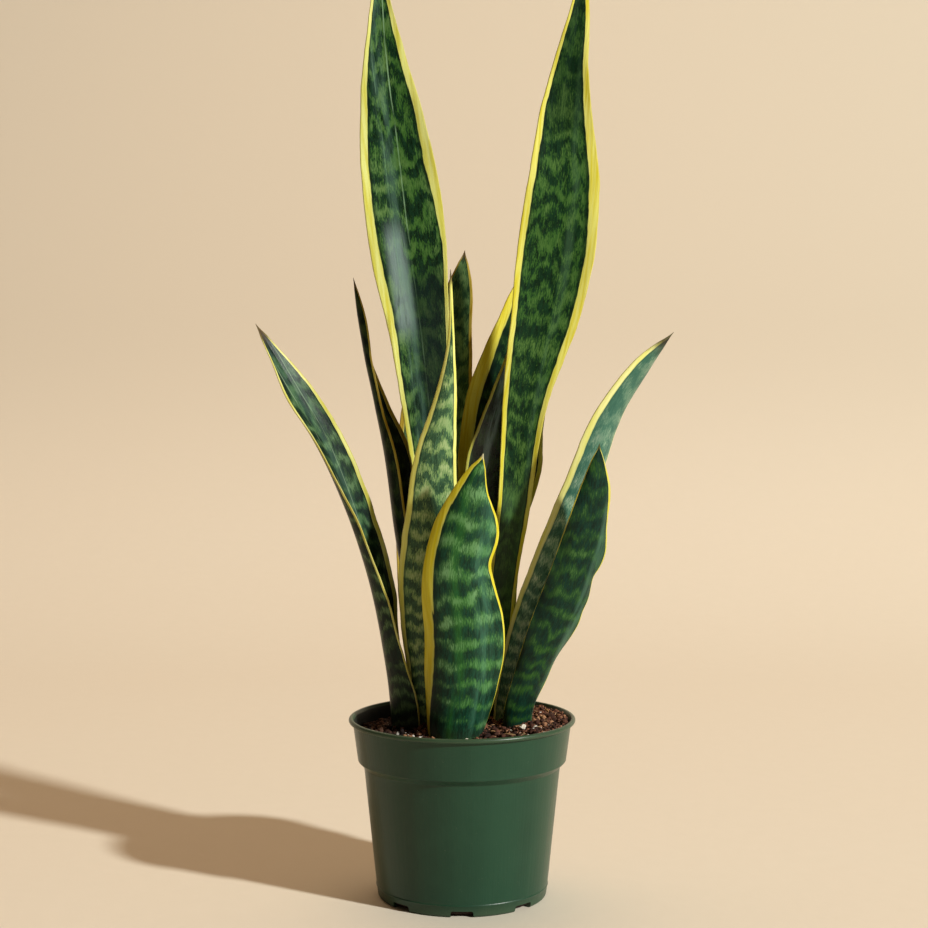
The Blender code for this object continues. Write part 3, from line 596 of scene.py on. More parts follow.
# What a leaf's material and margins read, colours as sRGB from 0 to 255, lengths in mm.
# greens: two tones of the dark bands, the green between them, its pale parts, its fresh parts.
# yellows: two tones of the margins. left, right: (height, width) of each margin.
# pitch: (height, length of one band). stripes: place across the blade, half width, strength
# and colour, and where given the heights between which the stripe runs.
BLADE = {
    "zigzag": 1.1, "zigzag_width": 9.0, "ragged": 0.12, "bands": 0.62, "patchy": 0.62, "fleck": 1.2,
    "blur": 0.11, "lift": 0.0, "depth": 0.95, "dark_low": 1.0, "stripes": (), "edging": 0.22,
    "edge": (140, 98, 44), "tip": 9.0, "tip_colour": (70, 48, 30), "rough": 0.34, "gloss": 0.15,
    "seam": (204, 212, 122), "pitch": [(0, 9), (60, 12), (200, 17), (500, 20)],
}
LOOKS = {
    "leaf_tall_left": {
        "seed": 1, "keel": 0.5, "rough": 0.28, "gloss": 0.28, "lift": -0.04,
        "greens": [(3, 25, 13), (10, 45, 28), (50, 86, 40), (90, 122, 68), (52, 96, 34)],
        "yellows": [(200, 196, 76), (218, 222, 134)],
        "left": [(0, 2.0), (150, 2.6), (262, 3.0), (289, 5.0), (316, 6.2), (342, 6.6), (401, 5.6),
        (451, 4.7), (502, 2.4), (540, 1.6)], "right": [(0, 1.4), (200, 2.0), (300, 2.2), (350, 2.6),
        (385, 5.5), (410, 7.5), (450, 5.2), (502, 3.6), (540, 2.0)],
        # The pale blue-white stripe on the left, between heights 280 and 380, is a painted highlight: the
        # key's gloss painted into the colour.
        "stripes": [(1.6, 0.7, 0.85, (138, 176, 136)), (9.0, 24.0, 0.8, (6, 28, 26), 0.0, 345.0),
        (-9.0, 10.5, 0.55, (152, 176, 174), 280.0, 380.0), (-6.0, 7.0, 0.3, (100, 138, 122)),
        (-9.0, 0.5, 0.35, (120, 160, 130))], "pitch": [(0, 10), (60, 14), (200, 20), (500, 23)],
    },
    "leaf_tall_right": {
        "seed": 2, "lift": -0.02, "bands": 0.46, "dark_low": 60.0,
        "greens": [(4, 25, 14), (12, 46, 26), (46, 80, 34), (80, 114, 56), (50, 92, 36)],
        "yellows": [(208, 196, 48), (226, 224, 118)],
        "left": [(0, 1.6), (160, 2.6), (300, 3.8), (345, 4.4), (430, 4.4), (460, 2.8), (500, 1.8),
        (560, 1.0)], "right": [(0, 1.4), (160, 2.4), (250, 3.5), (310, 5.6), (345, 6.8), (400, 6.8),
        (440, 5.6), (470, 4.4), (500, 2.8), (560, 1.6)],
        # The dark stripe above height 425 is painted shade on the curved upper blade; the pale stripe
        # below height 190 is painted light that lifts the foot out of the front leaf's shadow.
        "stripes": [(9.0, 5.0, 0.3, (84, 122, 88)), (0.0, 34.0, 0.5, (8, 30, 14), 425.0, 700.0),
        (0.0, 40.0, 0.22, (104, 140, 92), -50.0, 190.0)], "pitch": [(0, 8), (60, 10), (200, 17),
        (500, 21)],
    },
    "leaf_centre": {
        "seed": 3, "fleck": 1.1, "zigzag": 0.7,
        # The greens and yellows are painted paler than the leaf's own colour: painted light that lifts
        # its shaded left side and margin.
        "greens": [(34, 62, 46), (62, 98, 70), (118, 150, 90), (170, 190, 132), (106, 148, 92)],
        "yellows": [(226, 222, 104), (238, 238, 142)],
        "left": [(0, 4.0), (140, 4.4), (240, 3.0), (330, 1.0)], "right": [(0, 1.6), (120, 2.2),
        (240, 2.2), (330, 1.0)],
        "pitch": [(0, 8), (60, 11), (140, 15), (330, 19)],
    },
    "leaf_front_broad": {
        "seed": 4, "zigzag": 0.45, "zigzag_width": 12.0, "bands": 0.66, "fleck": 0.85, "patchy": 0.66,
        "blur": 0.26, "dark_low": 120.0, "tip": 2.5, "tip_colour": (176, 170, 140),
        "greens": [(8, 34, 26), (18, 60, 44), (58, 98, 54), (104, 146, 96), (56, 112, 44)],
        "yellows": [(206, 192, 34), (220, 210, 70)],
        "left": [(0, 9.0), (70, 10.0), (110, 9.4), (145, 8.0), (175, 5.4), (190, 3.4), (203, 1.6)],
        "right": [(0, 1.6), (60, 1.3), (110, 2.2), (150, 2.6), (190, 1.0), (203, 0.8)],
        # The blue-green stripe on the right half is painted sheen: the key's gloss painted into the
        # colour.
        "stripes": [(15.0, 9.0, 0.26, (92, 148, 118)), (-3.0, 6.0, 0.3, (52, 120, 36))],
        "pitch": [(0, 12), (60, 15), (140, 19), (200, 19)],
    },
    "leaf_outer_left": {
        "seed": 5, "tip": 11.0, "fleck": 0.8,
        "greens": [(8, 24, 20), (16, 40, 30), (34, 58, 32), (84, 112, 74), (44, 78, 48)],
        "yellows": [(190, 184, 74), (216, 218, 140)],
        "left": [(0, 0.8), (120, 1.0), (220, 1.4), (296, 0.8)], "right": [(0, 1.6), (120, 3.0),
        (220, 2.2), (296, 0.8)],
        "stripes": [(-6.0, 0.7, 0.55, (150, 170, 136)), (3.0, 0.6, 0.45, (150, 170, 136)),
        (0.0, 9.0, 0.25, (96, 130, 112))],
    },
    "leaf_inner_left": {
        "seed": 6,
        # The dark olive greens and dull yellows are painted shade: the leaf's shaded look painted over
        # its whole colour.
        "greens": [(8, 18, 12), (16, 30, 20), (30, 44, 24), (58, 72, 36), (36, 56, 24)],
        "yellows": [(150, 124, 28), (186, 168, 72)],
        "left": [(0, 1.0), (200, 1.2), (331, 0.6)], "right": [(0, 2.0), (150, 3.4), (240, 2.4),
        (331, 0.8)],
    },
    "leaf_back_centre": {
        # The lighter greens and the fewer dark bands are painted light that lifts the leaf out of the
        # tall left leaf's shadow.
        "seed": 7, "lift": -0.12, "tip": 6.0,
        "greens": [(24, 50, 34), (42, 76, 52), (80, 114, 68), (112, 146, 92), (30, 54, 30)],
        "yellows": [(150, 122, 24), (190, 170, 70)],
        "left": [(0, 2.4), (240, 3.4), (300, 1.2), (354, 0.8)], "right": [(0, 1.8), (240, 2.4),
        (330, 1.6), (354, 0.6)],
    },
    "leaf_back_gold": {
        "seed": 8, "tip": 6.0,
        "greens": [(8, 26, 18), (16, 42, 28), (34, 66, 30), (66, 98, 48), (42, 76, 30)],
        # The yellows are painted brighter than the margin's own colour: painted light on a margin that
        # sits in shade.
        "yellows": [(214, 194, 36), (232, 222, 84)],
        "left": [(0, 6.0), (180, 10.5), (260, 10.0), (320, 4.5), (358, 1.0)], "right": [(0, 2.0),
        (240, 2.4), (358, 1.0)],
    },
    "leaf_back_right": {
        "seed": 9, "tip": 4.0, "rough": 0.28, "gloss": 0.4,
        "greens": [(7, 22, 18), (14, 38, 30), (26, 54, 36), (54, 86, 58), (40, 72, 40)],
        "yellows": [(150, 144, 40), (184, 184, 84)],
        "left": [(0, 1.4), (200, 1.9), (306, 0.8)], "right": [(0, 2.0), (150, 2.8), (240, 2.8),
        (306, 1.0)],
        # The pale blue stripe is a painted highlight: the key's gloss painted into the colour.
        "stripes": [(-14.0, 5.0, 0.75, (150, 182, 192))],
    },
    "leaf_outer_right": {
        "seed": 10, "zigzag": 0.8, "tip": 12.0, "tip_colour": (50, 40, 32), "blur": 0.22, "bands": 0.5,
        # The pale greens and yellows are painted light that lifts the lower leaf out of the short right
        # leaf's shadow; the dark stripe between heights 160 and 400 brings the upper part back to its own
        # bluish green.
        "greens": [(52, 96, 80), (84, 132, 110), (146, 182, 146), (204, 222, 190), (124, 170, 134)],
        "yellows": [(232, 230, 124), (244, 244, 168)],
        "left": [(0, 2.6), (120, 3.6), (220, 4.4), (270, 2.8), (290, 1.0)], "right": [(0, 1.0),
        (200, 1.4), (290, 0.8)],
        "stripes": [(-2.0, 26.0, 0.72, (54, 96, 82), 160.0, 400.0)], "pitch": [(0, 8), (80, 10),
        (180, 16), (290, 18)],
    },
    "leaf_short_right": {
        "seed": 11, "zigzag": 0.8, "blur": 0.24, "fleck": 0.8, "bands": 0.5, "lift": 0.1, "tip": 4.0,
        "tip_colour": (46, 50, 34), "edge": (150, 160, 120), "edging": 0.25,
        "greens": [(6, 28, 22), (12, 48, 38), (32, 68, 32), (66, 102, 52), (44, 84, 28)],
        "yellows": [(208, 196, 48), (200, 196, 96)],
        "left": [(0, 0.02), (130, 0.02), (160, 0.4), (212, 0.4)], "right": [(0, 0.6), (120, 0.7),
        (165, 2.0), (190, 1.8), (212, 0.8)],
        # The pale bluish stripe on the right is painted sheen, and the dark stripe on the left is painted
        # shade on the leaf's shaded side.
        "stripes": [(13.0, 6.0, 0.4, (92, 134, 108)), (-14.0, 7.0, 0.6, (8, 30, 20))],
    },
}


# ---- Pot
BAND_TOP_RADIUS = RIM_RADIUS - LIP_WIDTH
BAND_FOOT_RADIUS = BAND_TOP_RADIUS - BAND_DRAFT
BODY_TOP_RADIUS = BAND_FOOT_RADIUS - STEP_WIDTH
FOOT_RADIUS = BODY_TOP_RADIUS - BODY_DRAFT
RING_INSIDE = FOOT_RADIUS - FOOT_RING_WIDTH
BAND_TOP = POT_HEIGHT - LIP_HEIGHT
BAND_FOOT = POT_HEIGHT - BAND_DEPTH
BODY_TOP = BAND_FOOT - STEP_HEIGHT
POT_SEGMENTS = 192
RING_LINE_HEIGHT = 0.0085  # a raised line round the body, just above the foot
RING_LINE_DEPTH = 0.00035


def arc(centre, radius, start, stop, count):
    """Points on an arc, angles in degrees from +R towards +Z."""
    points = []
    for i in range(count):
        a = math.radians(start + (stop - start) * i / (count - 1))
        points.append((centre[0] + radius * math.cos(a), centre[1] + radius * math.sin(a)))
    return points


def body_radius(height):
    return FOOT_RADIUS + BODY_DRAFT * height / BODY_TOP


def inner_line(gap):
    """(radius, height) pairs at a gap from the inside of the pot, from its floor to its band."""
    low, high = WALL + gap, FLOOR_LIFT + WALL + gap
    return [
        (PAD_RADIUS, low),
        (PAD_RADIUS + FLOOR_RISE, high),
        (RING_INSIDE - FLOOR_RISE, high),
        (RING_INSIDE, low),
        (FOOT_RADIUS - WALL - FOOT_ROUND, low),
        (FOOT_RADIUS - WALL - gap, low + FOOT_ROUND),
        (BODY_TOP_RADIUS - WALL - gap, BODY_TOP),
        (BAND_FOOT_RADIUS - WALL - gap, BAND_FOOT),
    ]


def pot_profile():
    """(radius, height) pairs from under the middle of the floor, round the rim, to inside it."""
    line = RING_LINE_HEIGHT
    bead = LIP_HEIGHT / 2
    outside = [
        (0, 0.0002),
        (0.0022, 0.0002),
        (0.0026, 0),
        (PAD_RADIUS - 0.0008, 0),
        (PAD_RADIUS, 0.0006),
        (PAD_RADIUS + FLOOR_RISE - 0.0006, FLOOR_LIFT - 0.0004),
        (PAD_RADIUS + FLOOR_RISE, FLOOR_LIFT),
        (RING_INSIDE - FLOOR_RISE, FLOOR_LIFT),
        (RING_INSIDE - FLOOR_RISE + 0.0006, FLOOR_LIFT - 0.0004),
        (RING_INSIDE, 0.0006),
        (RING_INSIDE + 0.0006, 0),
    ]
    outside += arc((FOOT_RADIUS - FOOT_ROUND, FOOT_ROUND), FOOT_ROUND, -90, 0, 7)
    outside += [
        (body_radius(line) - 0.00002, line - 0.0007),
        (body_radius(line) + RING_LINE_DEPTH, line - 0.0002),
        (body_radius(line) + RING_LINE_DEPTH, line + 0.0002),
        (body_radius(line) + 0.00002, line + 0.0007),
    ]
    levels = np.linspace(0.02, BODY_TOP - 0.0022, 9)
    outside += [(body_radius(level), level) for level in levels]
    outside += arc((BODY_TOP_RADIUS + 0.0016, BODY_TOP - 0.0008), 0.0016, 180, 125, 5)
    outside += arc((BAND_FOOT_RADIUS - 0.0010, BAND_FOOT + 0.0002), 0.0010, -55, 5, 6)
    outside += [
        (BAND_FOOT_RADIUS + BAND_DRAFT * share, BAND_FOOT + (BAND_TOP - BAND_FOOT) * share)
        for share in (0.15, 0.4, 0.65, 0.85)
    ]
    outside += arc((BAND_TOP_RADIUS + 0.0008, BAND_TOP - 0.0006), 0.0008, 180, 110, 4)
    outside += arc((RIM_RADIUS - bead, POT_HEIGHT - bead), bead, -70, 120, 12)
    inside = [(0, WALL)] + inner_line(0)
    inside += [(BAND_TOP_RADIUS - WALL - 0.0003, BAND_TOP - 0.004), (BAND_TOP_RADIUS - WALL, BAND_TOP)]
    return outside + inside[::-1]


def lathe_mesh(profile, segments, wobble):
    """Points and faces of a profile turned about Z, whose ends lie on the axis."""
    points = [(0, 0, profile[0][1])]
    for radius, height in profile[1:-1]:
        for j in range(segments):
            a = 2 * math.pi * j / segments
            r = radius + wobble(a, height) * min(radius / 0.03, 1)
            points.append((r * math.cos(a), r * math.sin(a), height))
    points.append((0, 0, profile[-1][1]))
    return points, closed_faces(len(profile) - 2, segments)


def notch_cutter(angle):
    """A bar with softened upper corners that cuts one drain notch through the foot ring."""
    half, top, slope = NOTCH_WIDTH / 2, NOTCH_HEIGHT, NOTCH_SLOPE
    outline = [(-half, -top), (half, -top)]
    outline += [(half, top - slope), (half - slope * 0.3, top - slope * 0.3), (half - slope, top)]
    outline += [(slope - half, top), (slope * 0.3 - half, top - slope * 0.3), (-half, top - slope)]
    turn = Matrix.Rotation(angle, 4, "Z")
    points = []
    for r in (RING_INSIDE - FLOOR_RISE * 0.9, FOOT_RADIUS + FOOT_ROUND):
        points += [turn @ Vector((r, y, z)) for y, z in outline]
    n = len(outline)
    faces = [tuple(range(n))[::-1], tuple(range(n, 2 * n))]
    faces += [(i, (i + 1) % n, n + (i + 1) % n, n + i) for i in range(n)]
    cutter = link("notch", new_mesh("notch", points, faces))
    heal_normals(cutter)
    return cutter


def build_pot():
    def wobble(angle, height):
        """Moulded plastic is never quite round."""
        around = Vector((math.cos(angle) * 1.3, math.sin(angle) * 1.3, height * 9))
        share = min(max(height / POT_HEIGHT, 0), 1)
        return 0.00028 * share * noise.noise(around) + 0.00006 * noise.noise(around * 5)

    points, faces = lathe_mesh(pot_profile(), POT_SEGMENTS, wobble)
    pot = make_object("nursery_pot", points, faces, pot_material(), ["pot"])
    heal_normals(pot)
    for i in range(DRAIN_COUNT):
        cutter = notch_cutter(-math.pi / 2 + 2 * math.pi * i / DRAIN_COUNT)
        modifier = pot.modifiers.new("notch", "BOOLEAN")
        modifier.operation = "DIFFERENCE"
        modifier.solver = "EXACT"
        modifier.object = cutter
        graph = bpy.context.evaluated_depsgraph_get()
        mesh = bpy.data.meshes.new_from_object(pot.evaluated_get(graph))
        pot.modifiers.remove(modifier)
        pot.data = mesh
        bpy.data.objects.remove(cutter, do_unlink=True)
    pot.data.shade_smooth()
    pot.data.set_sharp_from_angle(angle=math.radians(34))


def pot_material():
    """Satin polypropylene: faint vertical drag lines, mould dust and light scuffs, with a painted
    highlight on the lip and painted shade on the wall inside.
    """
    g = Graph("pot_satin")
    spot = g.position()
    x, y, z = g.split(spot)
    angle = g.math("ARCTAN2", y, x)
    cosine, sine = g.math("COSINE", angle), g.math("SINE", angle)
    broad = g.noise(g.join(cosine, sine, g.times(z, 1.6)), 2.6, 2.0)
    drag = g.noise(g.join(cosine, sine, g.times(z, 0.5)), 38.0, 3.0, 0.6)
    grain = g.noise(spot, 1500.0, 2.0)
    mottle = g.noise(spot, 60.0, 3.0, 0.6)
    speck = g.step(g.noise(spot, 620.0, 3.0, 0.7), 0.66, 0.74)
    scuff = g.step(g.noise(g.join(x, y, g.times(z, 0.25)), 240.0, 4.0, 0.7), 0.66, 0.80)
    base = g.mix(g.step(broad, 0.25, 0.75), srgb(22, 57, 40), srgb(28, 65, 46))
    base = g.lay(g.step(mottle, 0.35, 0.7), 0.30, base, srgb(32, 68, 49))

    # The lip is painted paler as a painted highlight, and the wall inside it is painted dark above the
    # mix as painted shade.
    radius = g.math("SQRT", g.add(g.times(x, x), g.times(y, y)))
    middle = BAND_TOP_RADIUS - WALL * 0.5
    slant = g.times(g.math("SUBTRACT", z, BAND_TOP), BAND_DRAFT / (BAND_TOP - BAND_FOOT))
    within = g.math("SUBTRACT", g.add(middle, g.math("MINIMUM", slant, 0.0)), radius)
    inner = g.step(g.add(within, g.centred(mottle, 0.0002)), -0.0002, 0.0004)
    painted_wall_shade = g.times(inner, g.step(z, BAND_FOOT, SOIL_LINE))
    lip = g.step(z, POT_HEIGHT - LIP_HEIGHT, POT_HEIGHT - LIP_HEIGHT * 0.6)
    base = g.lay(lip, 0.28, base, srgb(84, 92, 66))
    base = g.lay(speck, 0.12, base, srgb(150, 150, 120))
    base = g.lay(scuff, 0.14, base, srgb(96, 118, 96))
    low = g.step(g.add(z, g.centred(mottle, 0.006)), 0.012, 0.0)
    base = g.lay(low, 0.16, base, srgb(104, 104, 78))
    base = g.lay(painted_wall_shade, 0.92, base, srgb(14, 13, 10))
    rough = g.add(0.33, g.centred(mottle, 0.06), g.centred(drag, 0.06), g.times(scuff, 0.14))
    rough = g.add(rough, g.times(low, 0.10), g.times(painted_wall_shade, 0.35))
    relief = g.add(g.times(drag, 0.35), g.times(grain, 0.12), g.times(broad, 1.2))
    return g.finish(
        Base_Color=base,
        Roughness=rough,
        Normal=g.bump(relief, 0.0003, 0.8),
        Specular_IOR_Level=0.32,
    )


# ---- Potting mix
SOIL_RINGS = 84
SOIL_SPOKES = 220
CLEARANCE = 0.0003
SUNK = 0.0010  # how far the bed lies below the CAD's, to leave room for loose crumbs
LUMP_SHAPES = 14  # kinds of lump in one piece of crumbs
FIBRE_COUNT = 90


def soil_height(x, y):
    """Top of the mix: a mound round the leaves, blended into a bank on the right."""
    reach = (x / MOUND_LENGTH) ** 2 + (y / MOUND_DEPTH) ** 2
    mound = SOIL_MOUND * math.exp(-(reach**2))
    uphill = x * math.cos(BANK_ANGLE) + y * math.sin(BANK_ANGLE)
    t = min(max((uphill - BANK_START) / (BANK_END - BANK_START), 0), 1)
    bank = SOIL_BANK * t * t * (3 - 2 * t)
    return SOIL_LINE + (mound**3 + bank**3) ** (1 / 3)


def soil_top(x, y):
    """The same with its lumps, and sunk a little under the loose crumbs."""
    spot = Vector((x, y, 0))
    lumps = 0.0011 * noise.noise(spot * 130) + 0.0007 * noise.noise(spot * 330 + Vector((3, 1, 0)))
    return soil_height(x, y) - SUNK + lumps


def wall_radius(height, gap):
    """Inside radius of the pot's upper band at a height, moved in by a gap."""
    share = (height - BAND_FOOT) / (BAND_TOP - BAND_FOOT)
    return BAND_FOOT_RADIUS + share * BAND_DRAFT - WALL - gap


def build_soil(material):
    below = inner_line(CLEARANCE)
    angles = [2 * math.pi * j / SOIL_SPOKES for j in range(SOIL_SPOKES)]
    points = [(0, 0, below[0][1])]
    for radius, height in below:
        points += [(radius * math.cos(a), radius * math.sin(a), height) for a in angles]
    for ring in range(SOIL_RINGS, 0, -1):
        for a in angles:
            radius = wall_radius(SOIL_LINE, CLEARANCE) * ring / SOIL_RINGS
            x, y = radius * math.cos(a), radius * math.sin(a)
            points.append((x, y, soil_top(x, y)))
    points.append((0, 0, soil_top(0, 0)))
    faces = closed_faces(len(below) + SOIL_RINGS, SOIL_SPOKES)
    soil = make_object("mix_bed", points, faces, material, ["potting_mix"])
    heal_normals(soil)
    return soil


def crumb_shape(seed, finer=2, rough=0.30):
    """Points and faces of one lump about 1 in radius."""
    work = bmesh.new()
    bmesh.ops.create_icosphere(work, subdivisions=finer, radius=1)
    shift = Vector((seed * 3.1, seed * 1.7, seed * 0.9))
    for v in work.verts:
        swell = noise.noise(v.co * 1.1 + shift) + 0.8 * noise.noise(v.co * 2.9 + shift)
        v.co *= 1 + rough * 1.7 * swell
    points = np.array([v.co for v in work.verts])
    faces = np.array([[v.index for v in f.verts] for f in work.faces])
    work.free()
    return points, faces


def leaf_clearance():
    """A test that says whether a place on the mix is clear of every leaf by a gap."""
    outlines = []
    for name in LEAVES:
        rings, _ = leaf_mesh(name, LOOKS[name]["seed"])
        heights = rings[..., 2].mean(axis=1)
        ring = rings[int(np.argmin(np.abs(heights - SOIL_LINE - 0.004)))]
        outlines.append(ring[:COLUMNS, :2] / 2 + ring[COLUMNS + 1 : -1, :2][::-1] / 2)
    lines = np.concatenate(outlines)

    def clear(x, y, gap):
        return np.min(np.hypot(lines[:, 0] - x, lines[:, 1] - y)) > LEAF_THICKNESS / 2 + gap

    return clear


def scatter(name, count, sizes, flat, material, rng, clear, bury=0.35, where=None):
    """Many loose lumps on the mix, in one piece. Sizes are the mean and spread of log mm."""
    library = [crumb_shape(seed + len(name)) for seed in range(LUMP_SHAPES)]
    points, faces, tones = [], [], []
    placed, total = 0, 0
    while placed < count:
        radius = wall_radius(SOIL_LINE, 0.0008) * math.sqrt(rng.random())
        angle = rng.random() * 2 * math.pi
        x, y = radius * math.cos(angle), radius * math.sin(angle)
        chance = rng.random()
        kind = rng.integers(LUMP_SHAPES)
        size = math.exp(rng.normal(*sizes)) * MM
        spin = rng.random() * 6.28
        tip_x, tip_y = rng.normal() * 0.5, rng.normal() * 0.5
        tone = rng.random()
        stretch = 1 + 0.5 * rng.random()
        if where is not None and chance > where(x, y):
            continue
        outermost = radius + size * 0.55
        if outermost > wall_radius(soil_height(x, y), 0.0002) or not clear(x, y, -0.0006):
            continue
        shape, sides = library[kind]
        half = size / 2 * np.array([stretch, 1.0, flat])
        tilt = Matrix.Rotation(tip_x, 3, "X") @ Matrix.Rotation(tip_y, 3, "Y")
        lump = (shape * half) @ np.array(Matrix.Rotation(spin, 3, "Z") @ tilt).T
        lift = -lump[:, 2].min() * (1 - bury)
        lump += (x, y, soil_height(x, y) - SUNK + lift)
        points.append(lump)
        faces.append(sides + total)
        tones += [tone] * len(lump)
        total += len(lump)
        placed += 1
    points, faces = np.concatenate(points), np.concatenate(faces)
    obj = make_object(name, points, faces.tolist(), material)
    store(obj, "tone", tones)


def crumb_material(name, stops, roughness=0.92, relief=0.0005, scale=900.0):
    """Each crumb has its own tone, with painted shade in its hollows and at the left of the mix, and a
    fibrous surface.
    """
    g = Graph(name)
    spot = g.position()
    grain = g.noise(spot, scale, 4.0, 0.65)
    coarse = g.noise(spot, scale * 0.3, 3.0, 0.6)
    tone = g.add(g.attribute("tone"), g.centred(coarse, 0.16), g.centred(grain, 0.14))
    base = g.ramp(tone, stops)
    # Painted shade: the hollows of the bump are darkened.
    base = g.lay(g.step(grain, 0.52, 0.30), 0.6, base, (0.008, 0.005, 0.004))

    # The mix is painted darker at the left, behind its front edge: painted shade where the leaves shade
    # it.
    x, y = g.split(spot)[:2]
    leftwards = g.step(g.add(x, g.centred(coarse, 0.006)), -0.012, -0.036)
    painted_left_shade = g.times(leftwards, g.step(y, -0.034, -0.012))
    base = g.lay(painted_left_shade, 0.70, base, srgb(16, 13, 13))
    bumps = g.bump(g.add(grain, g.times(coarse, 1.4)), relief, 1.0)
    rough = g.add(roughness, g.centred(coarse, 0.05))
    return g.finish(Base_Color=base, Roughness=rough, Normal=bumps, Specular_IOR_Level=0.3)


def build_named_crumbs(kinds):
    """The largest crumbs, each a rough lump as long, wide and thick as its CAD node."""
    rng = np.random.default_rng(12)
    for node in sorted(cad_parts):
        kind = node.rsplit("_", 1)[0]
        if kind not in kinds:
            continue
        title, material, slot, rough = kinds[kind]
        points, faces = crumb_shape(rng.integers(1000), 3 if kind == "twig" else 4, rough)
        place = np.array([v.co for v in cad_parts[node].data.vertices])
        centre = place.mean(axis=0)
        _, _, axes = np.linalg.svd(place - centre)
        if np.linalg.det(axes) < 0:
            axes[2] = -axes[2]
        reach = np.abs((place - centre) @ axes.T).max(axis=0)
        unit = points / np.abs(points).max(axis=0)
        detail = np.array([noise.noise(Vector(p) * 4.1) for p in points])[:, None]
        unit = unit * (1 + 0.10 * detail)
        made = (unit * reach) @ axes + centre - (0, 0, 0.0012)
        obj = make_object(title + node[len(kind):], made, faces.tolist(), material, [node])
        store(obj, "tone", [float(rng.random())] * len(made))


def build_fibres(material, rng, clear):
    """Thin straw-coloured fibres that lie on the mix or stick out of it."""
    points, faces, tones = [], [], []
    up = Vector((0, 0, 1))
    sides, steps, placed = 5, 9, 0
    while placed < FIBRE_COUNT:
        radius = wall_radius(SOIL_LINE, 0.004) * math.sqrt(rng.random())
        angle, heading = rng.random(2) * 2 * math.pi
        x, y = radius * math.cos(angle), radius * math.sin(angle)
        length, bend = 0.003 + 0.007 * rng.random(), rng.normal() * 0.8
        rise = max(rng.normal() * 0.35, -0.1)
        thick, tone = 0.00012 + 0.00022 * rng.random(), rng.random()
        far_x = x + length * math.cos(heading + bend / 2)
        far_y = y + length * math.sin(heading + bend / 2)
        if not clear(x, y, 0.002) or not clear(far_x, far_y, 0.002):
            continue
        if math.hypot(far_x, far_y) > wall_radius(SOIL_LINE, 0.002):
            continue
        first = len(points)
        at = Vector((x, y, soil_height(x, y) + 0.0002))
        for i in range(steps):
            turn = heading + bend * i / steps
            ahead = Vector((math.cos(turn), math.sin(turn), rise * (1 - i / steps)))
            side = Vector((-math.sin(turn), math.cos(turn), 0))
            slim = thick * (0.35 + 0.65 * math.sin(math.pi * (i + 0.7) / (steps + 0.4)))
            for j in range(sides):
                a = 2 * math.pi * j / sides
                points.append(at + side * slim * math.cos(a) + up * slim * math.sin(a))
                tones.append(tone)
            at = at + ahead * length / steps
            at.z = max(at.z, soil_height(at.x, at.y) - 0.0001)
        faces += ring_faces(first, steps, sides)
        faces.append(tuple(first + j for j in range(sides))[::-1])
        faces.append(tuple(first + (steps - 1) * sides + j for j in range(sides)))
        placed += 1
    obj = make_object("fibres", points, faces, material)
    store(obj, "tone", tones)
    heal_normals(obj)


# ---- Surroundings
KEY_BEARING = 36  # degrees from +X towards the front
KEY_HEIGHT = 27  # degrees above level
KEY_DISTANCE = 10.0
KEY_POWER = 1330
OVERHEAD_POWER = 42
ROOM_STRENGTH = 0.06
LENS = 69.83  # millimetres
CAMERA_PLACE = (0.0014, -1.301, 0.3865)
CAMERA_TILT = 3.16  # degrees below level


def build_stage():
    """A pale floor that sweeps up behind into a plain backdrop, painted darker up the backdrop as painted
    shade.
    """
    half, front, back, bend, top, parts = 4.0, -3.5, 0.9, 2.2, 4.5, 24
    line = [(front, 0.0), (back, 0.0)]
    for i in range(1, parts + 1):
        a = math.pi / 2 * i / parts
        line.append((back + bend * math.sin(a), bend * (1 - math.cos(a))))
    line.append((back + bend, top))
    points = [(x, y, z) for y, z in line for x in (-half, half)]
    faces = [(2 * i, 2 * i + 1, 2 * i + 3, 2 * i + 2) for i in range(len(line) - 1)]
    mesh = new_mesh("sweep", points, faces)
    mesh.shade_smooth()
    g = Graph("warm_paper")
    fine = g.noise(g.position(), 60.0, 4.0, 0.6)
    broad = g.noise(g.position(), 1.4, 2.0)
    tone = g.mix(fine, srgb(220, 213, 195), srgb(224, 217, 200))
    tone = g.lay(broad, 0.5, tone, srgb(223, 211, 190))
    # Painted shade: the paper is painted darker from the floor up the backdrop, which the key lights more
    # fully than the floor.
    tone = g.mix(g.step(g.split(g.position())[2], 0.0, 0.5), tone, srgb(206, 197, 178))
    relief = g.bump(fine, 0.0006, 0.3)
    mesh.materials.append(
        g.finish(Base_Color=tone, Roughness=0.95, Normal=relief, Specular_IOR_Level=0.2)
    )
    floor = link("sweep", mesh)


def add_area(name, place, target, size, power, colour):
    """A round lamp at a place that looks at the target."""
    light = bpy.data.lights.new(name, "AREA")
    light.shape = "DISK"
    light.size = size
    light.energy = power
    light.color = colour
    obj = link(name, light)
    obj.location = place
    obj.rotation_euler = (target - Vector(place)).to_track_quat("-Z", "Y").to_euler()


def build_lights():
    """A hard-edged key from the right, a broad warm light overhead and a dim warm room."""
    bearing, height, distance = math.radians(KEY_BEARING), math.radians(KEY_HEIGHT), KEY_DISTANCE
    aim = Vector((0, 0, 0.3))
    level = math.cos(height)
    toward = Vector((level * math.cos(bearing), -level * math.sin(bearing), math.sin(height)))
    add_area("key", aim + toward * distance, aim, 0.60, KEY_POWER, (1.0, 0.99, 0.95))
    add_area("overhead", (-0.3, 0.9, 3.2), aim, 3.2, OVERHEAD_POWER, (1.0, 0.63, 0.38))
    world = bpy.data.worlds.new("room")
    bpy.context.scene.world = world
    world.use_nodes = True
    ground = world.node_tree.nodes["Background"]
    ground.inputs["Color"].default_value = (1.0, 0.70, 0.46, 1)
    ground.inputs["Strength"].default_value = ROOM_STRENGTH


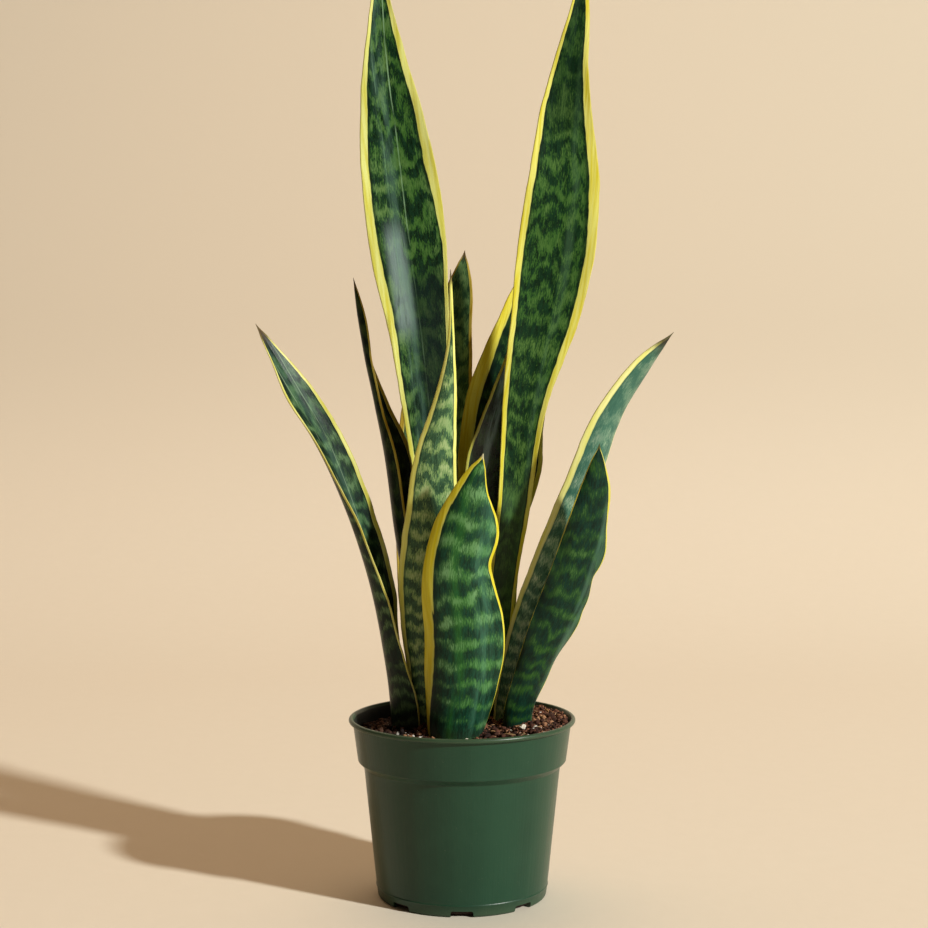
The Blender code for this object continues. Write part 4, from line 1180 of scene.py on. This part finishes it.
def build_camera():
    camera = bpy.data.cameras.new("camera")
    camera.lens = LENS
    camera.sensor_width = 36
    obj = link("camera", camera)
    obj.location = CAMERA_PLACE
    obj.rotation_euler = (math.radians(90 - CAMERA_TILT), 0, 0)
    bpy.context.scene.camera = obj


# ---- The plant
BARK = [
    (0.0, srgb(38, 22, 17)), (0.35, srgb(72, 42, 30)), (0.62, srgb(106, 66, 48)),
    (0.85, srgb(138, 94, 68)), (1.0, srgb(178, 134, 98)),
]
SOIL = [(0.0, srgb(22, 14, 11)), (0.5, srgb(48, 29, 21)), (1.0, srgb(84, 54, 38))]
PERLITE = [(0.0, srgb(206, 196, 176)), (0.5, srgb(236, 230, 216)), (1.0, srgb(250, 246, 236))]
STRAW = [(0.0, srgb(120, 84, 52)), (0.5, srgb(176, 138, 92)), (1.0, srgb(214, 184, 136))]


def main():
    bpy.context.scene.view_settings.view_transform = "Standard"
    build_camera()
    build_stage()
    build_lights()
    build_pot()
    for name, looks in LOOKS.items():
        build_leaf(name, looks)
    rng = np.random.default_rng(5)
    clear = leaf_clearance()
    bark = crumb_material("bark_crumb", BARK)
    white = crumb_material("perlite_grain", PERLITE, 0.85, 0.0003, 1500.0)
    straw = crumb_material("straw", STRAW, 0.8, 0.0001, 2400.0)
    soil = build_soil(crumb_material("damp_mix", SOIL, 0.95, 0.0009, 700.0))
    store(soil, "tone", [0.4] * len(soil.data.vertices))
    scatter("fine_crumbs", 2300, (0.48, 0.34), 0.80, bark, rng, clear)
    scatter("coarse_crumbs", 560, (0.98, 0.26), 0.70, bark, rng, clear, 0.22)
    scatter("grit", 2400, (-0.05, 0.30), 0.85, bark, rng, clear, 0.10)

    def floated(x, y):
        """Perlite that watering has floated up lies thickest in front of the left leaves."""
        return 1.0 if -0.045 < y < -0.015 and -0.055 < x < 0.005 else 0.12

    scatter("perlite_specks", 190, (0.45, 0.35), 0.85, white, rng, clear, 0.12, floated)
    build_named_crumbs({
        "perlite": ("perlite_lump", white, "perlite", 0.22),
        "bark_chip": ("bark_lump", bark, "bark", 0.30),
        "twig": ("twig_stick", straw, "twig", 0.12),
    })
    build_fibres(straw, rng, clear)
    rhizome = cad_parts["rhizome"]
    rhizome.data.materials.clear()
    rhizome.data.materials.append(crumb_material("rhizome_skin", STRAW, 0.7, 0.0003, 500.0))


main()
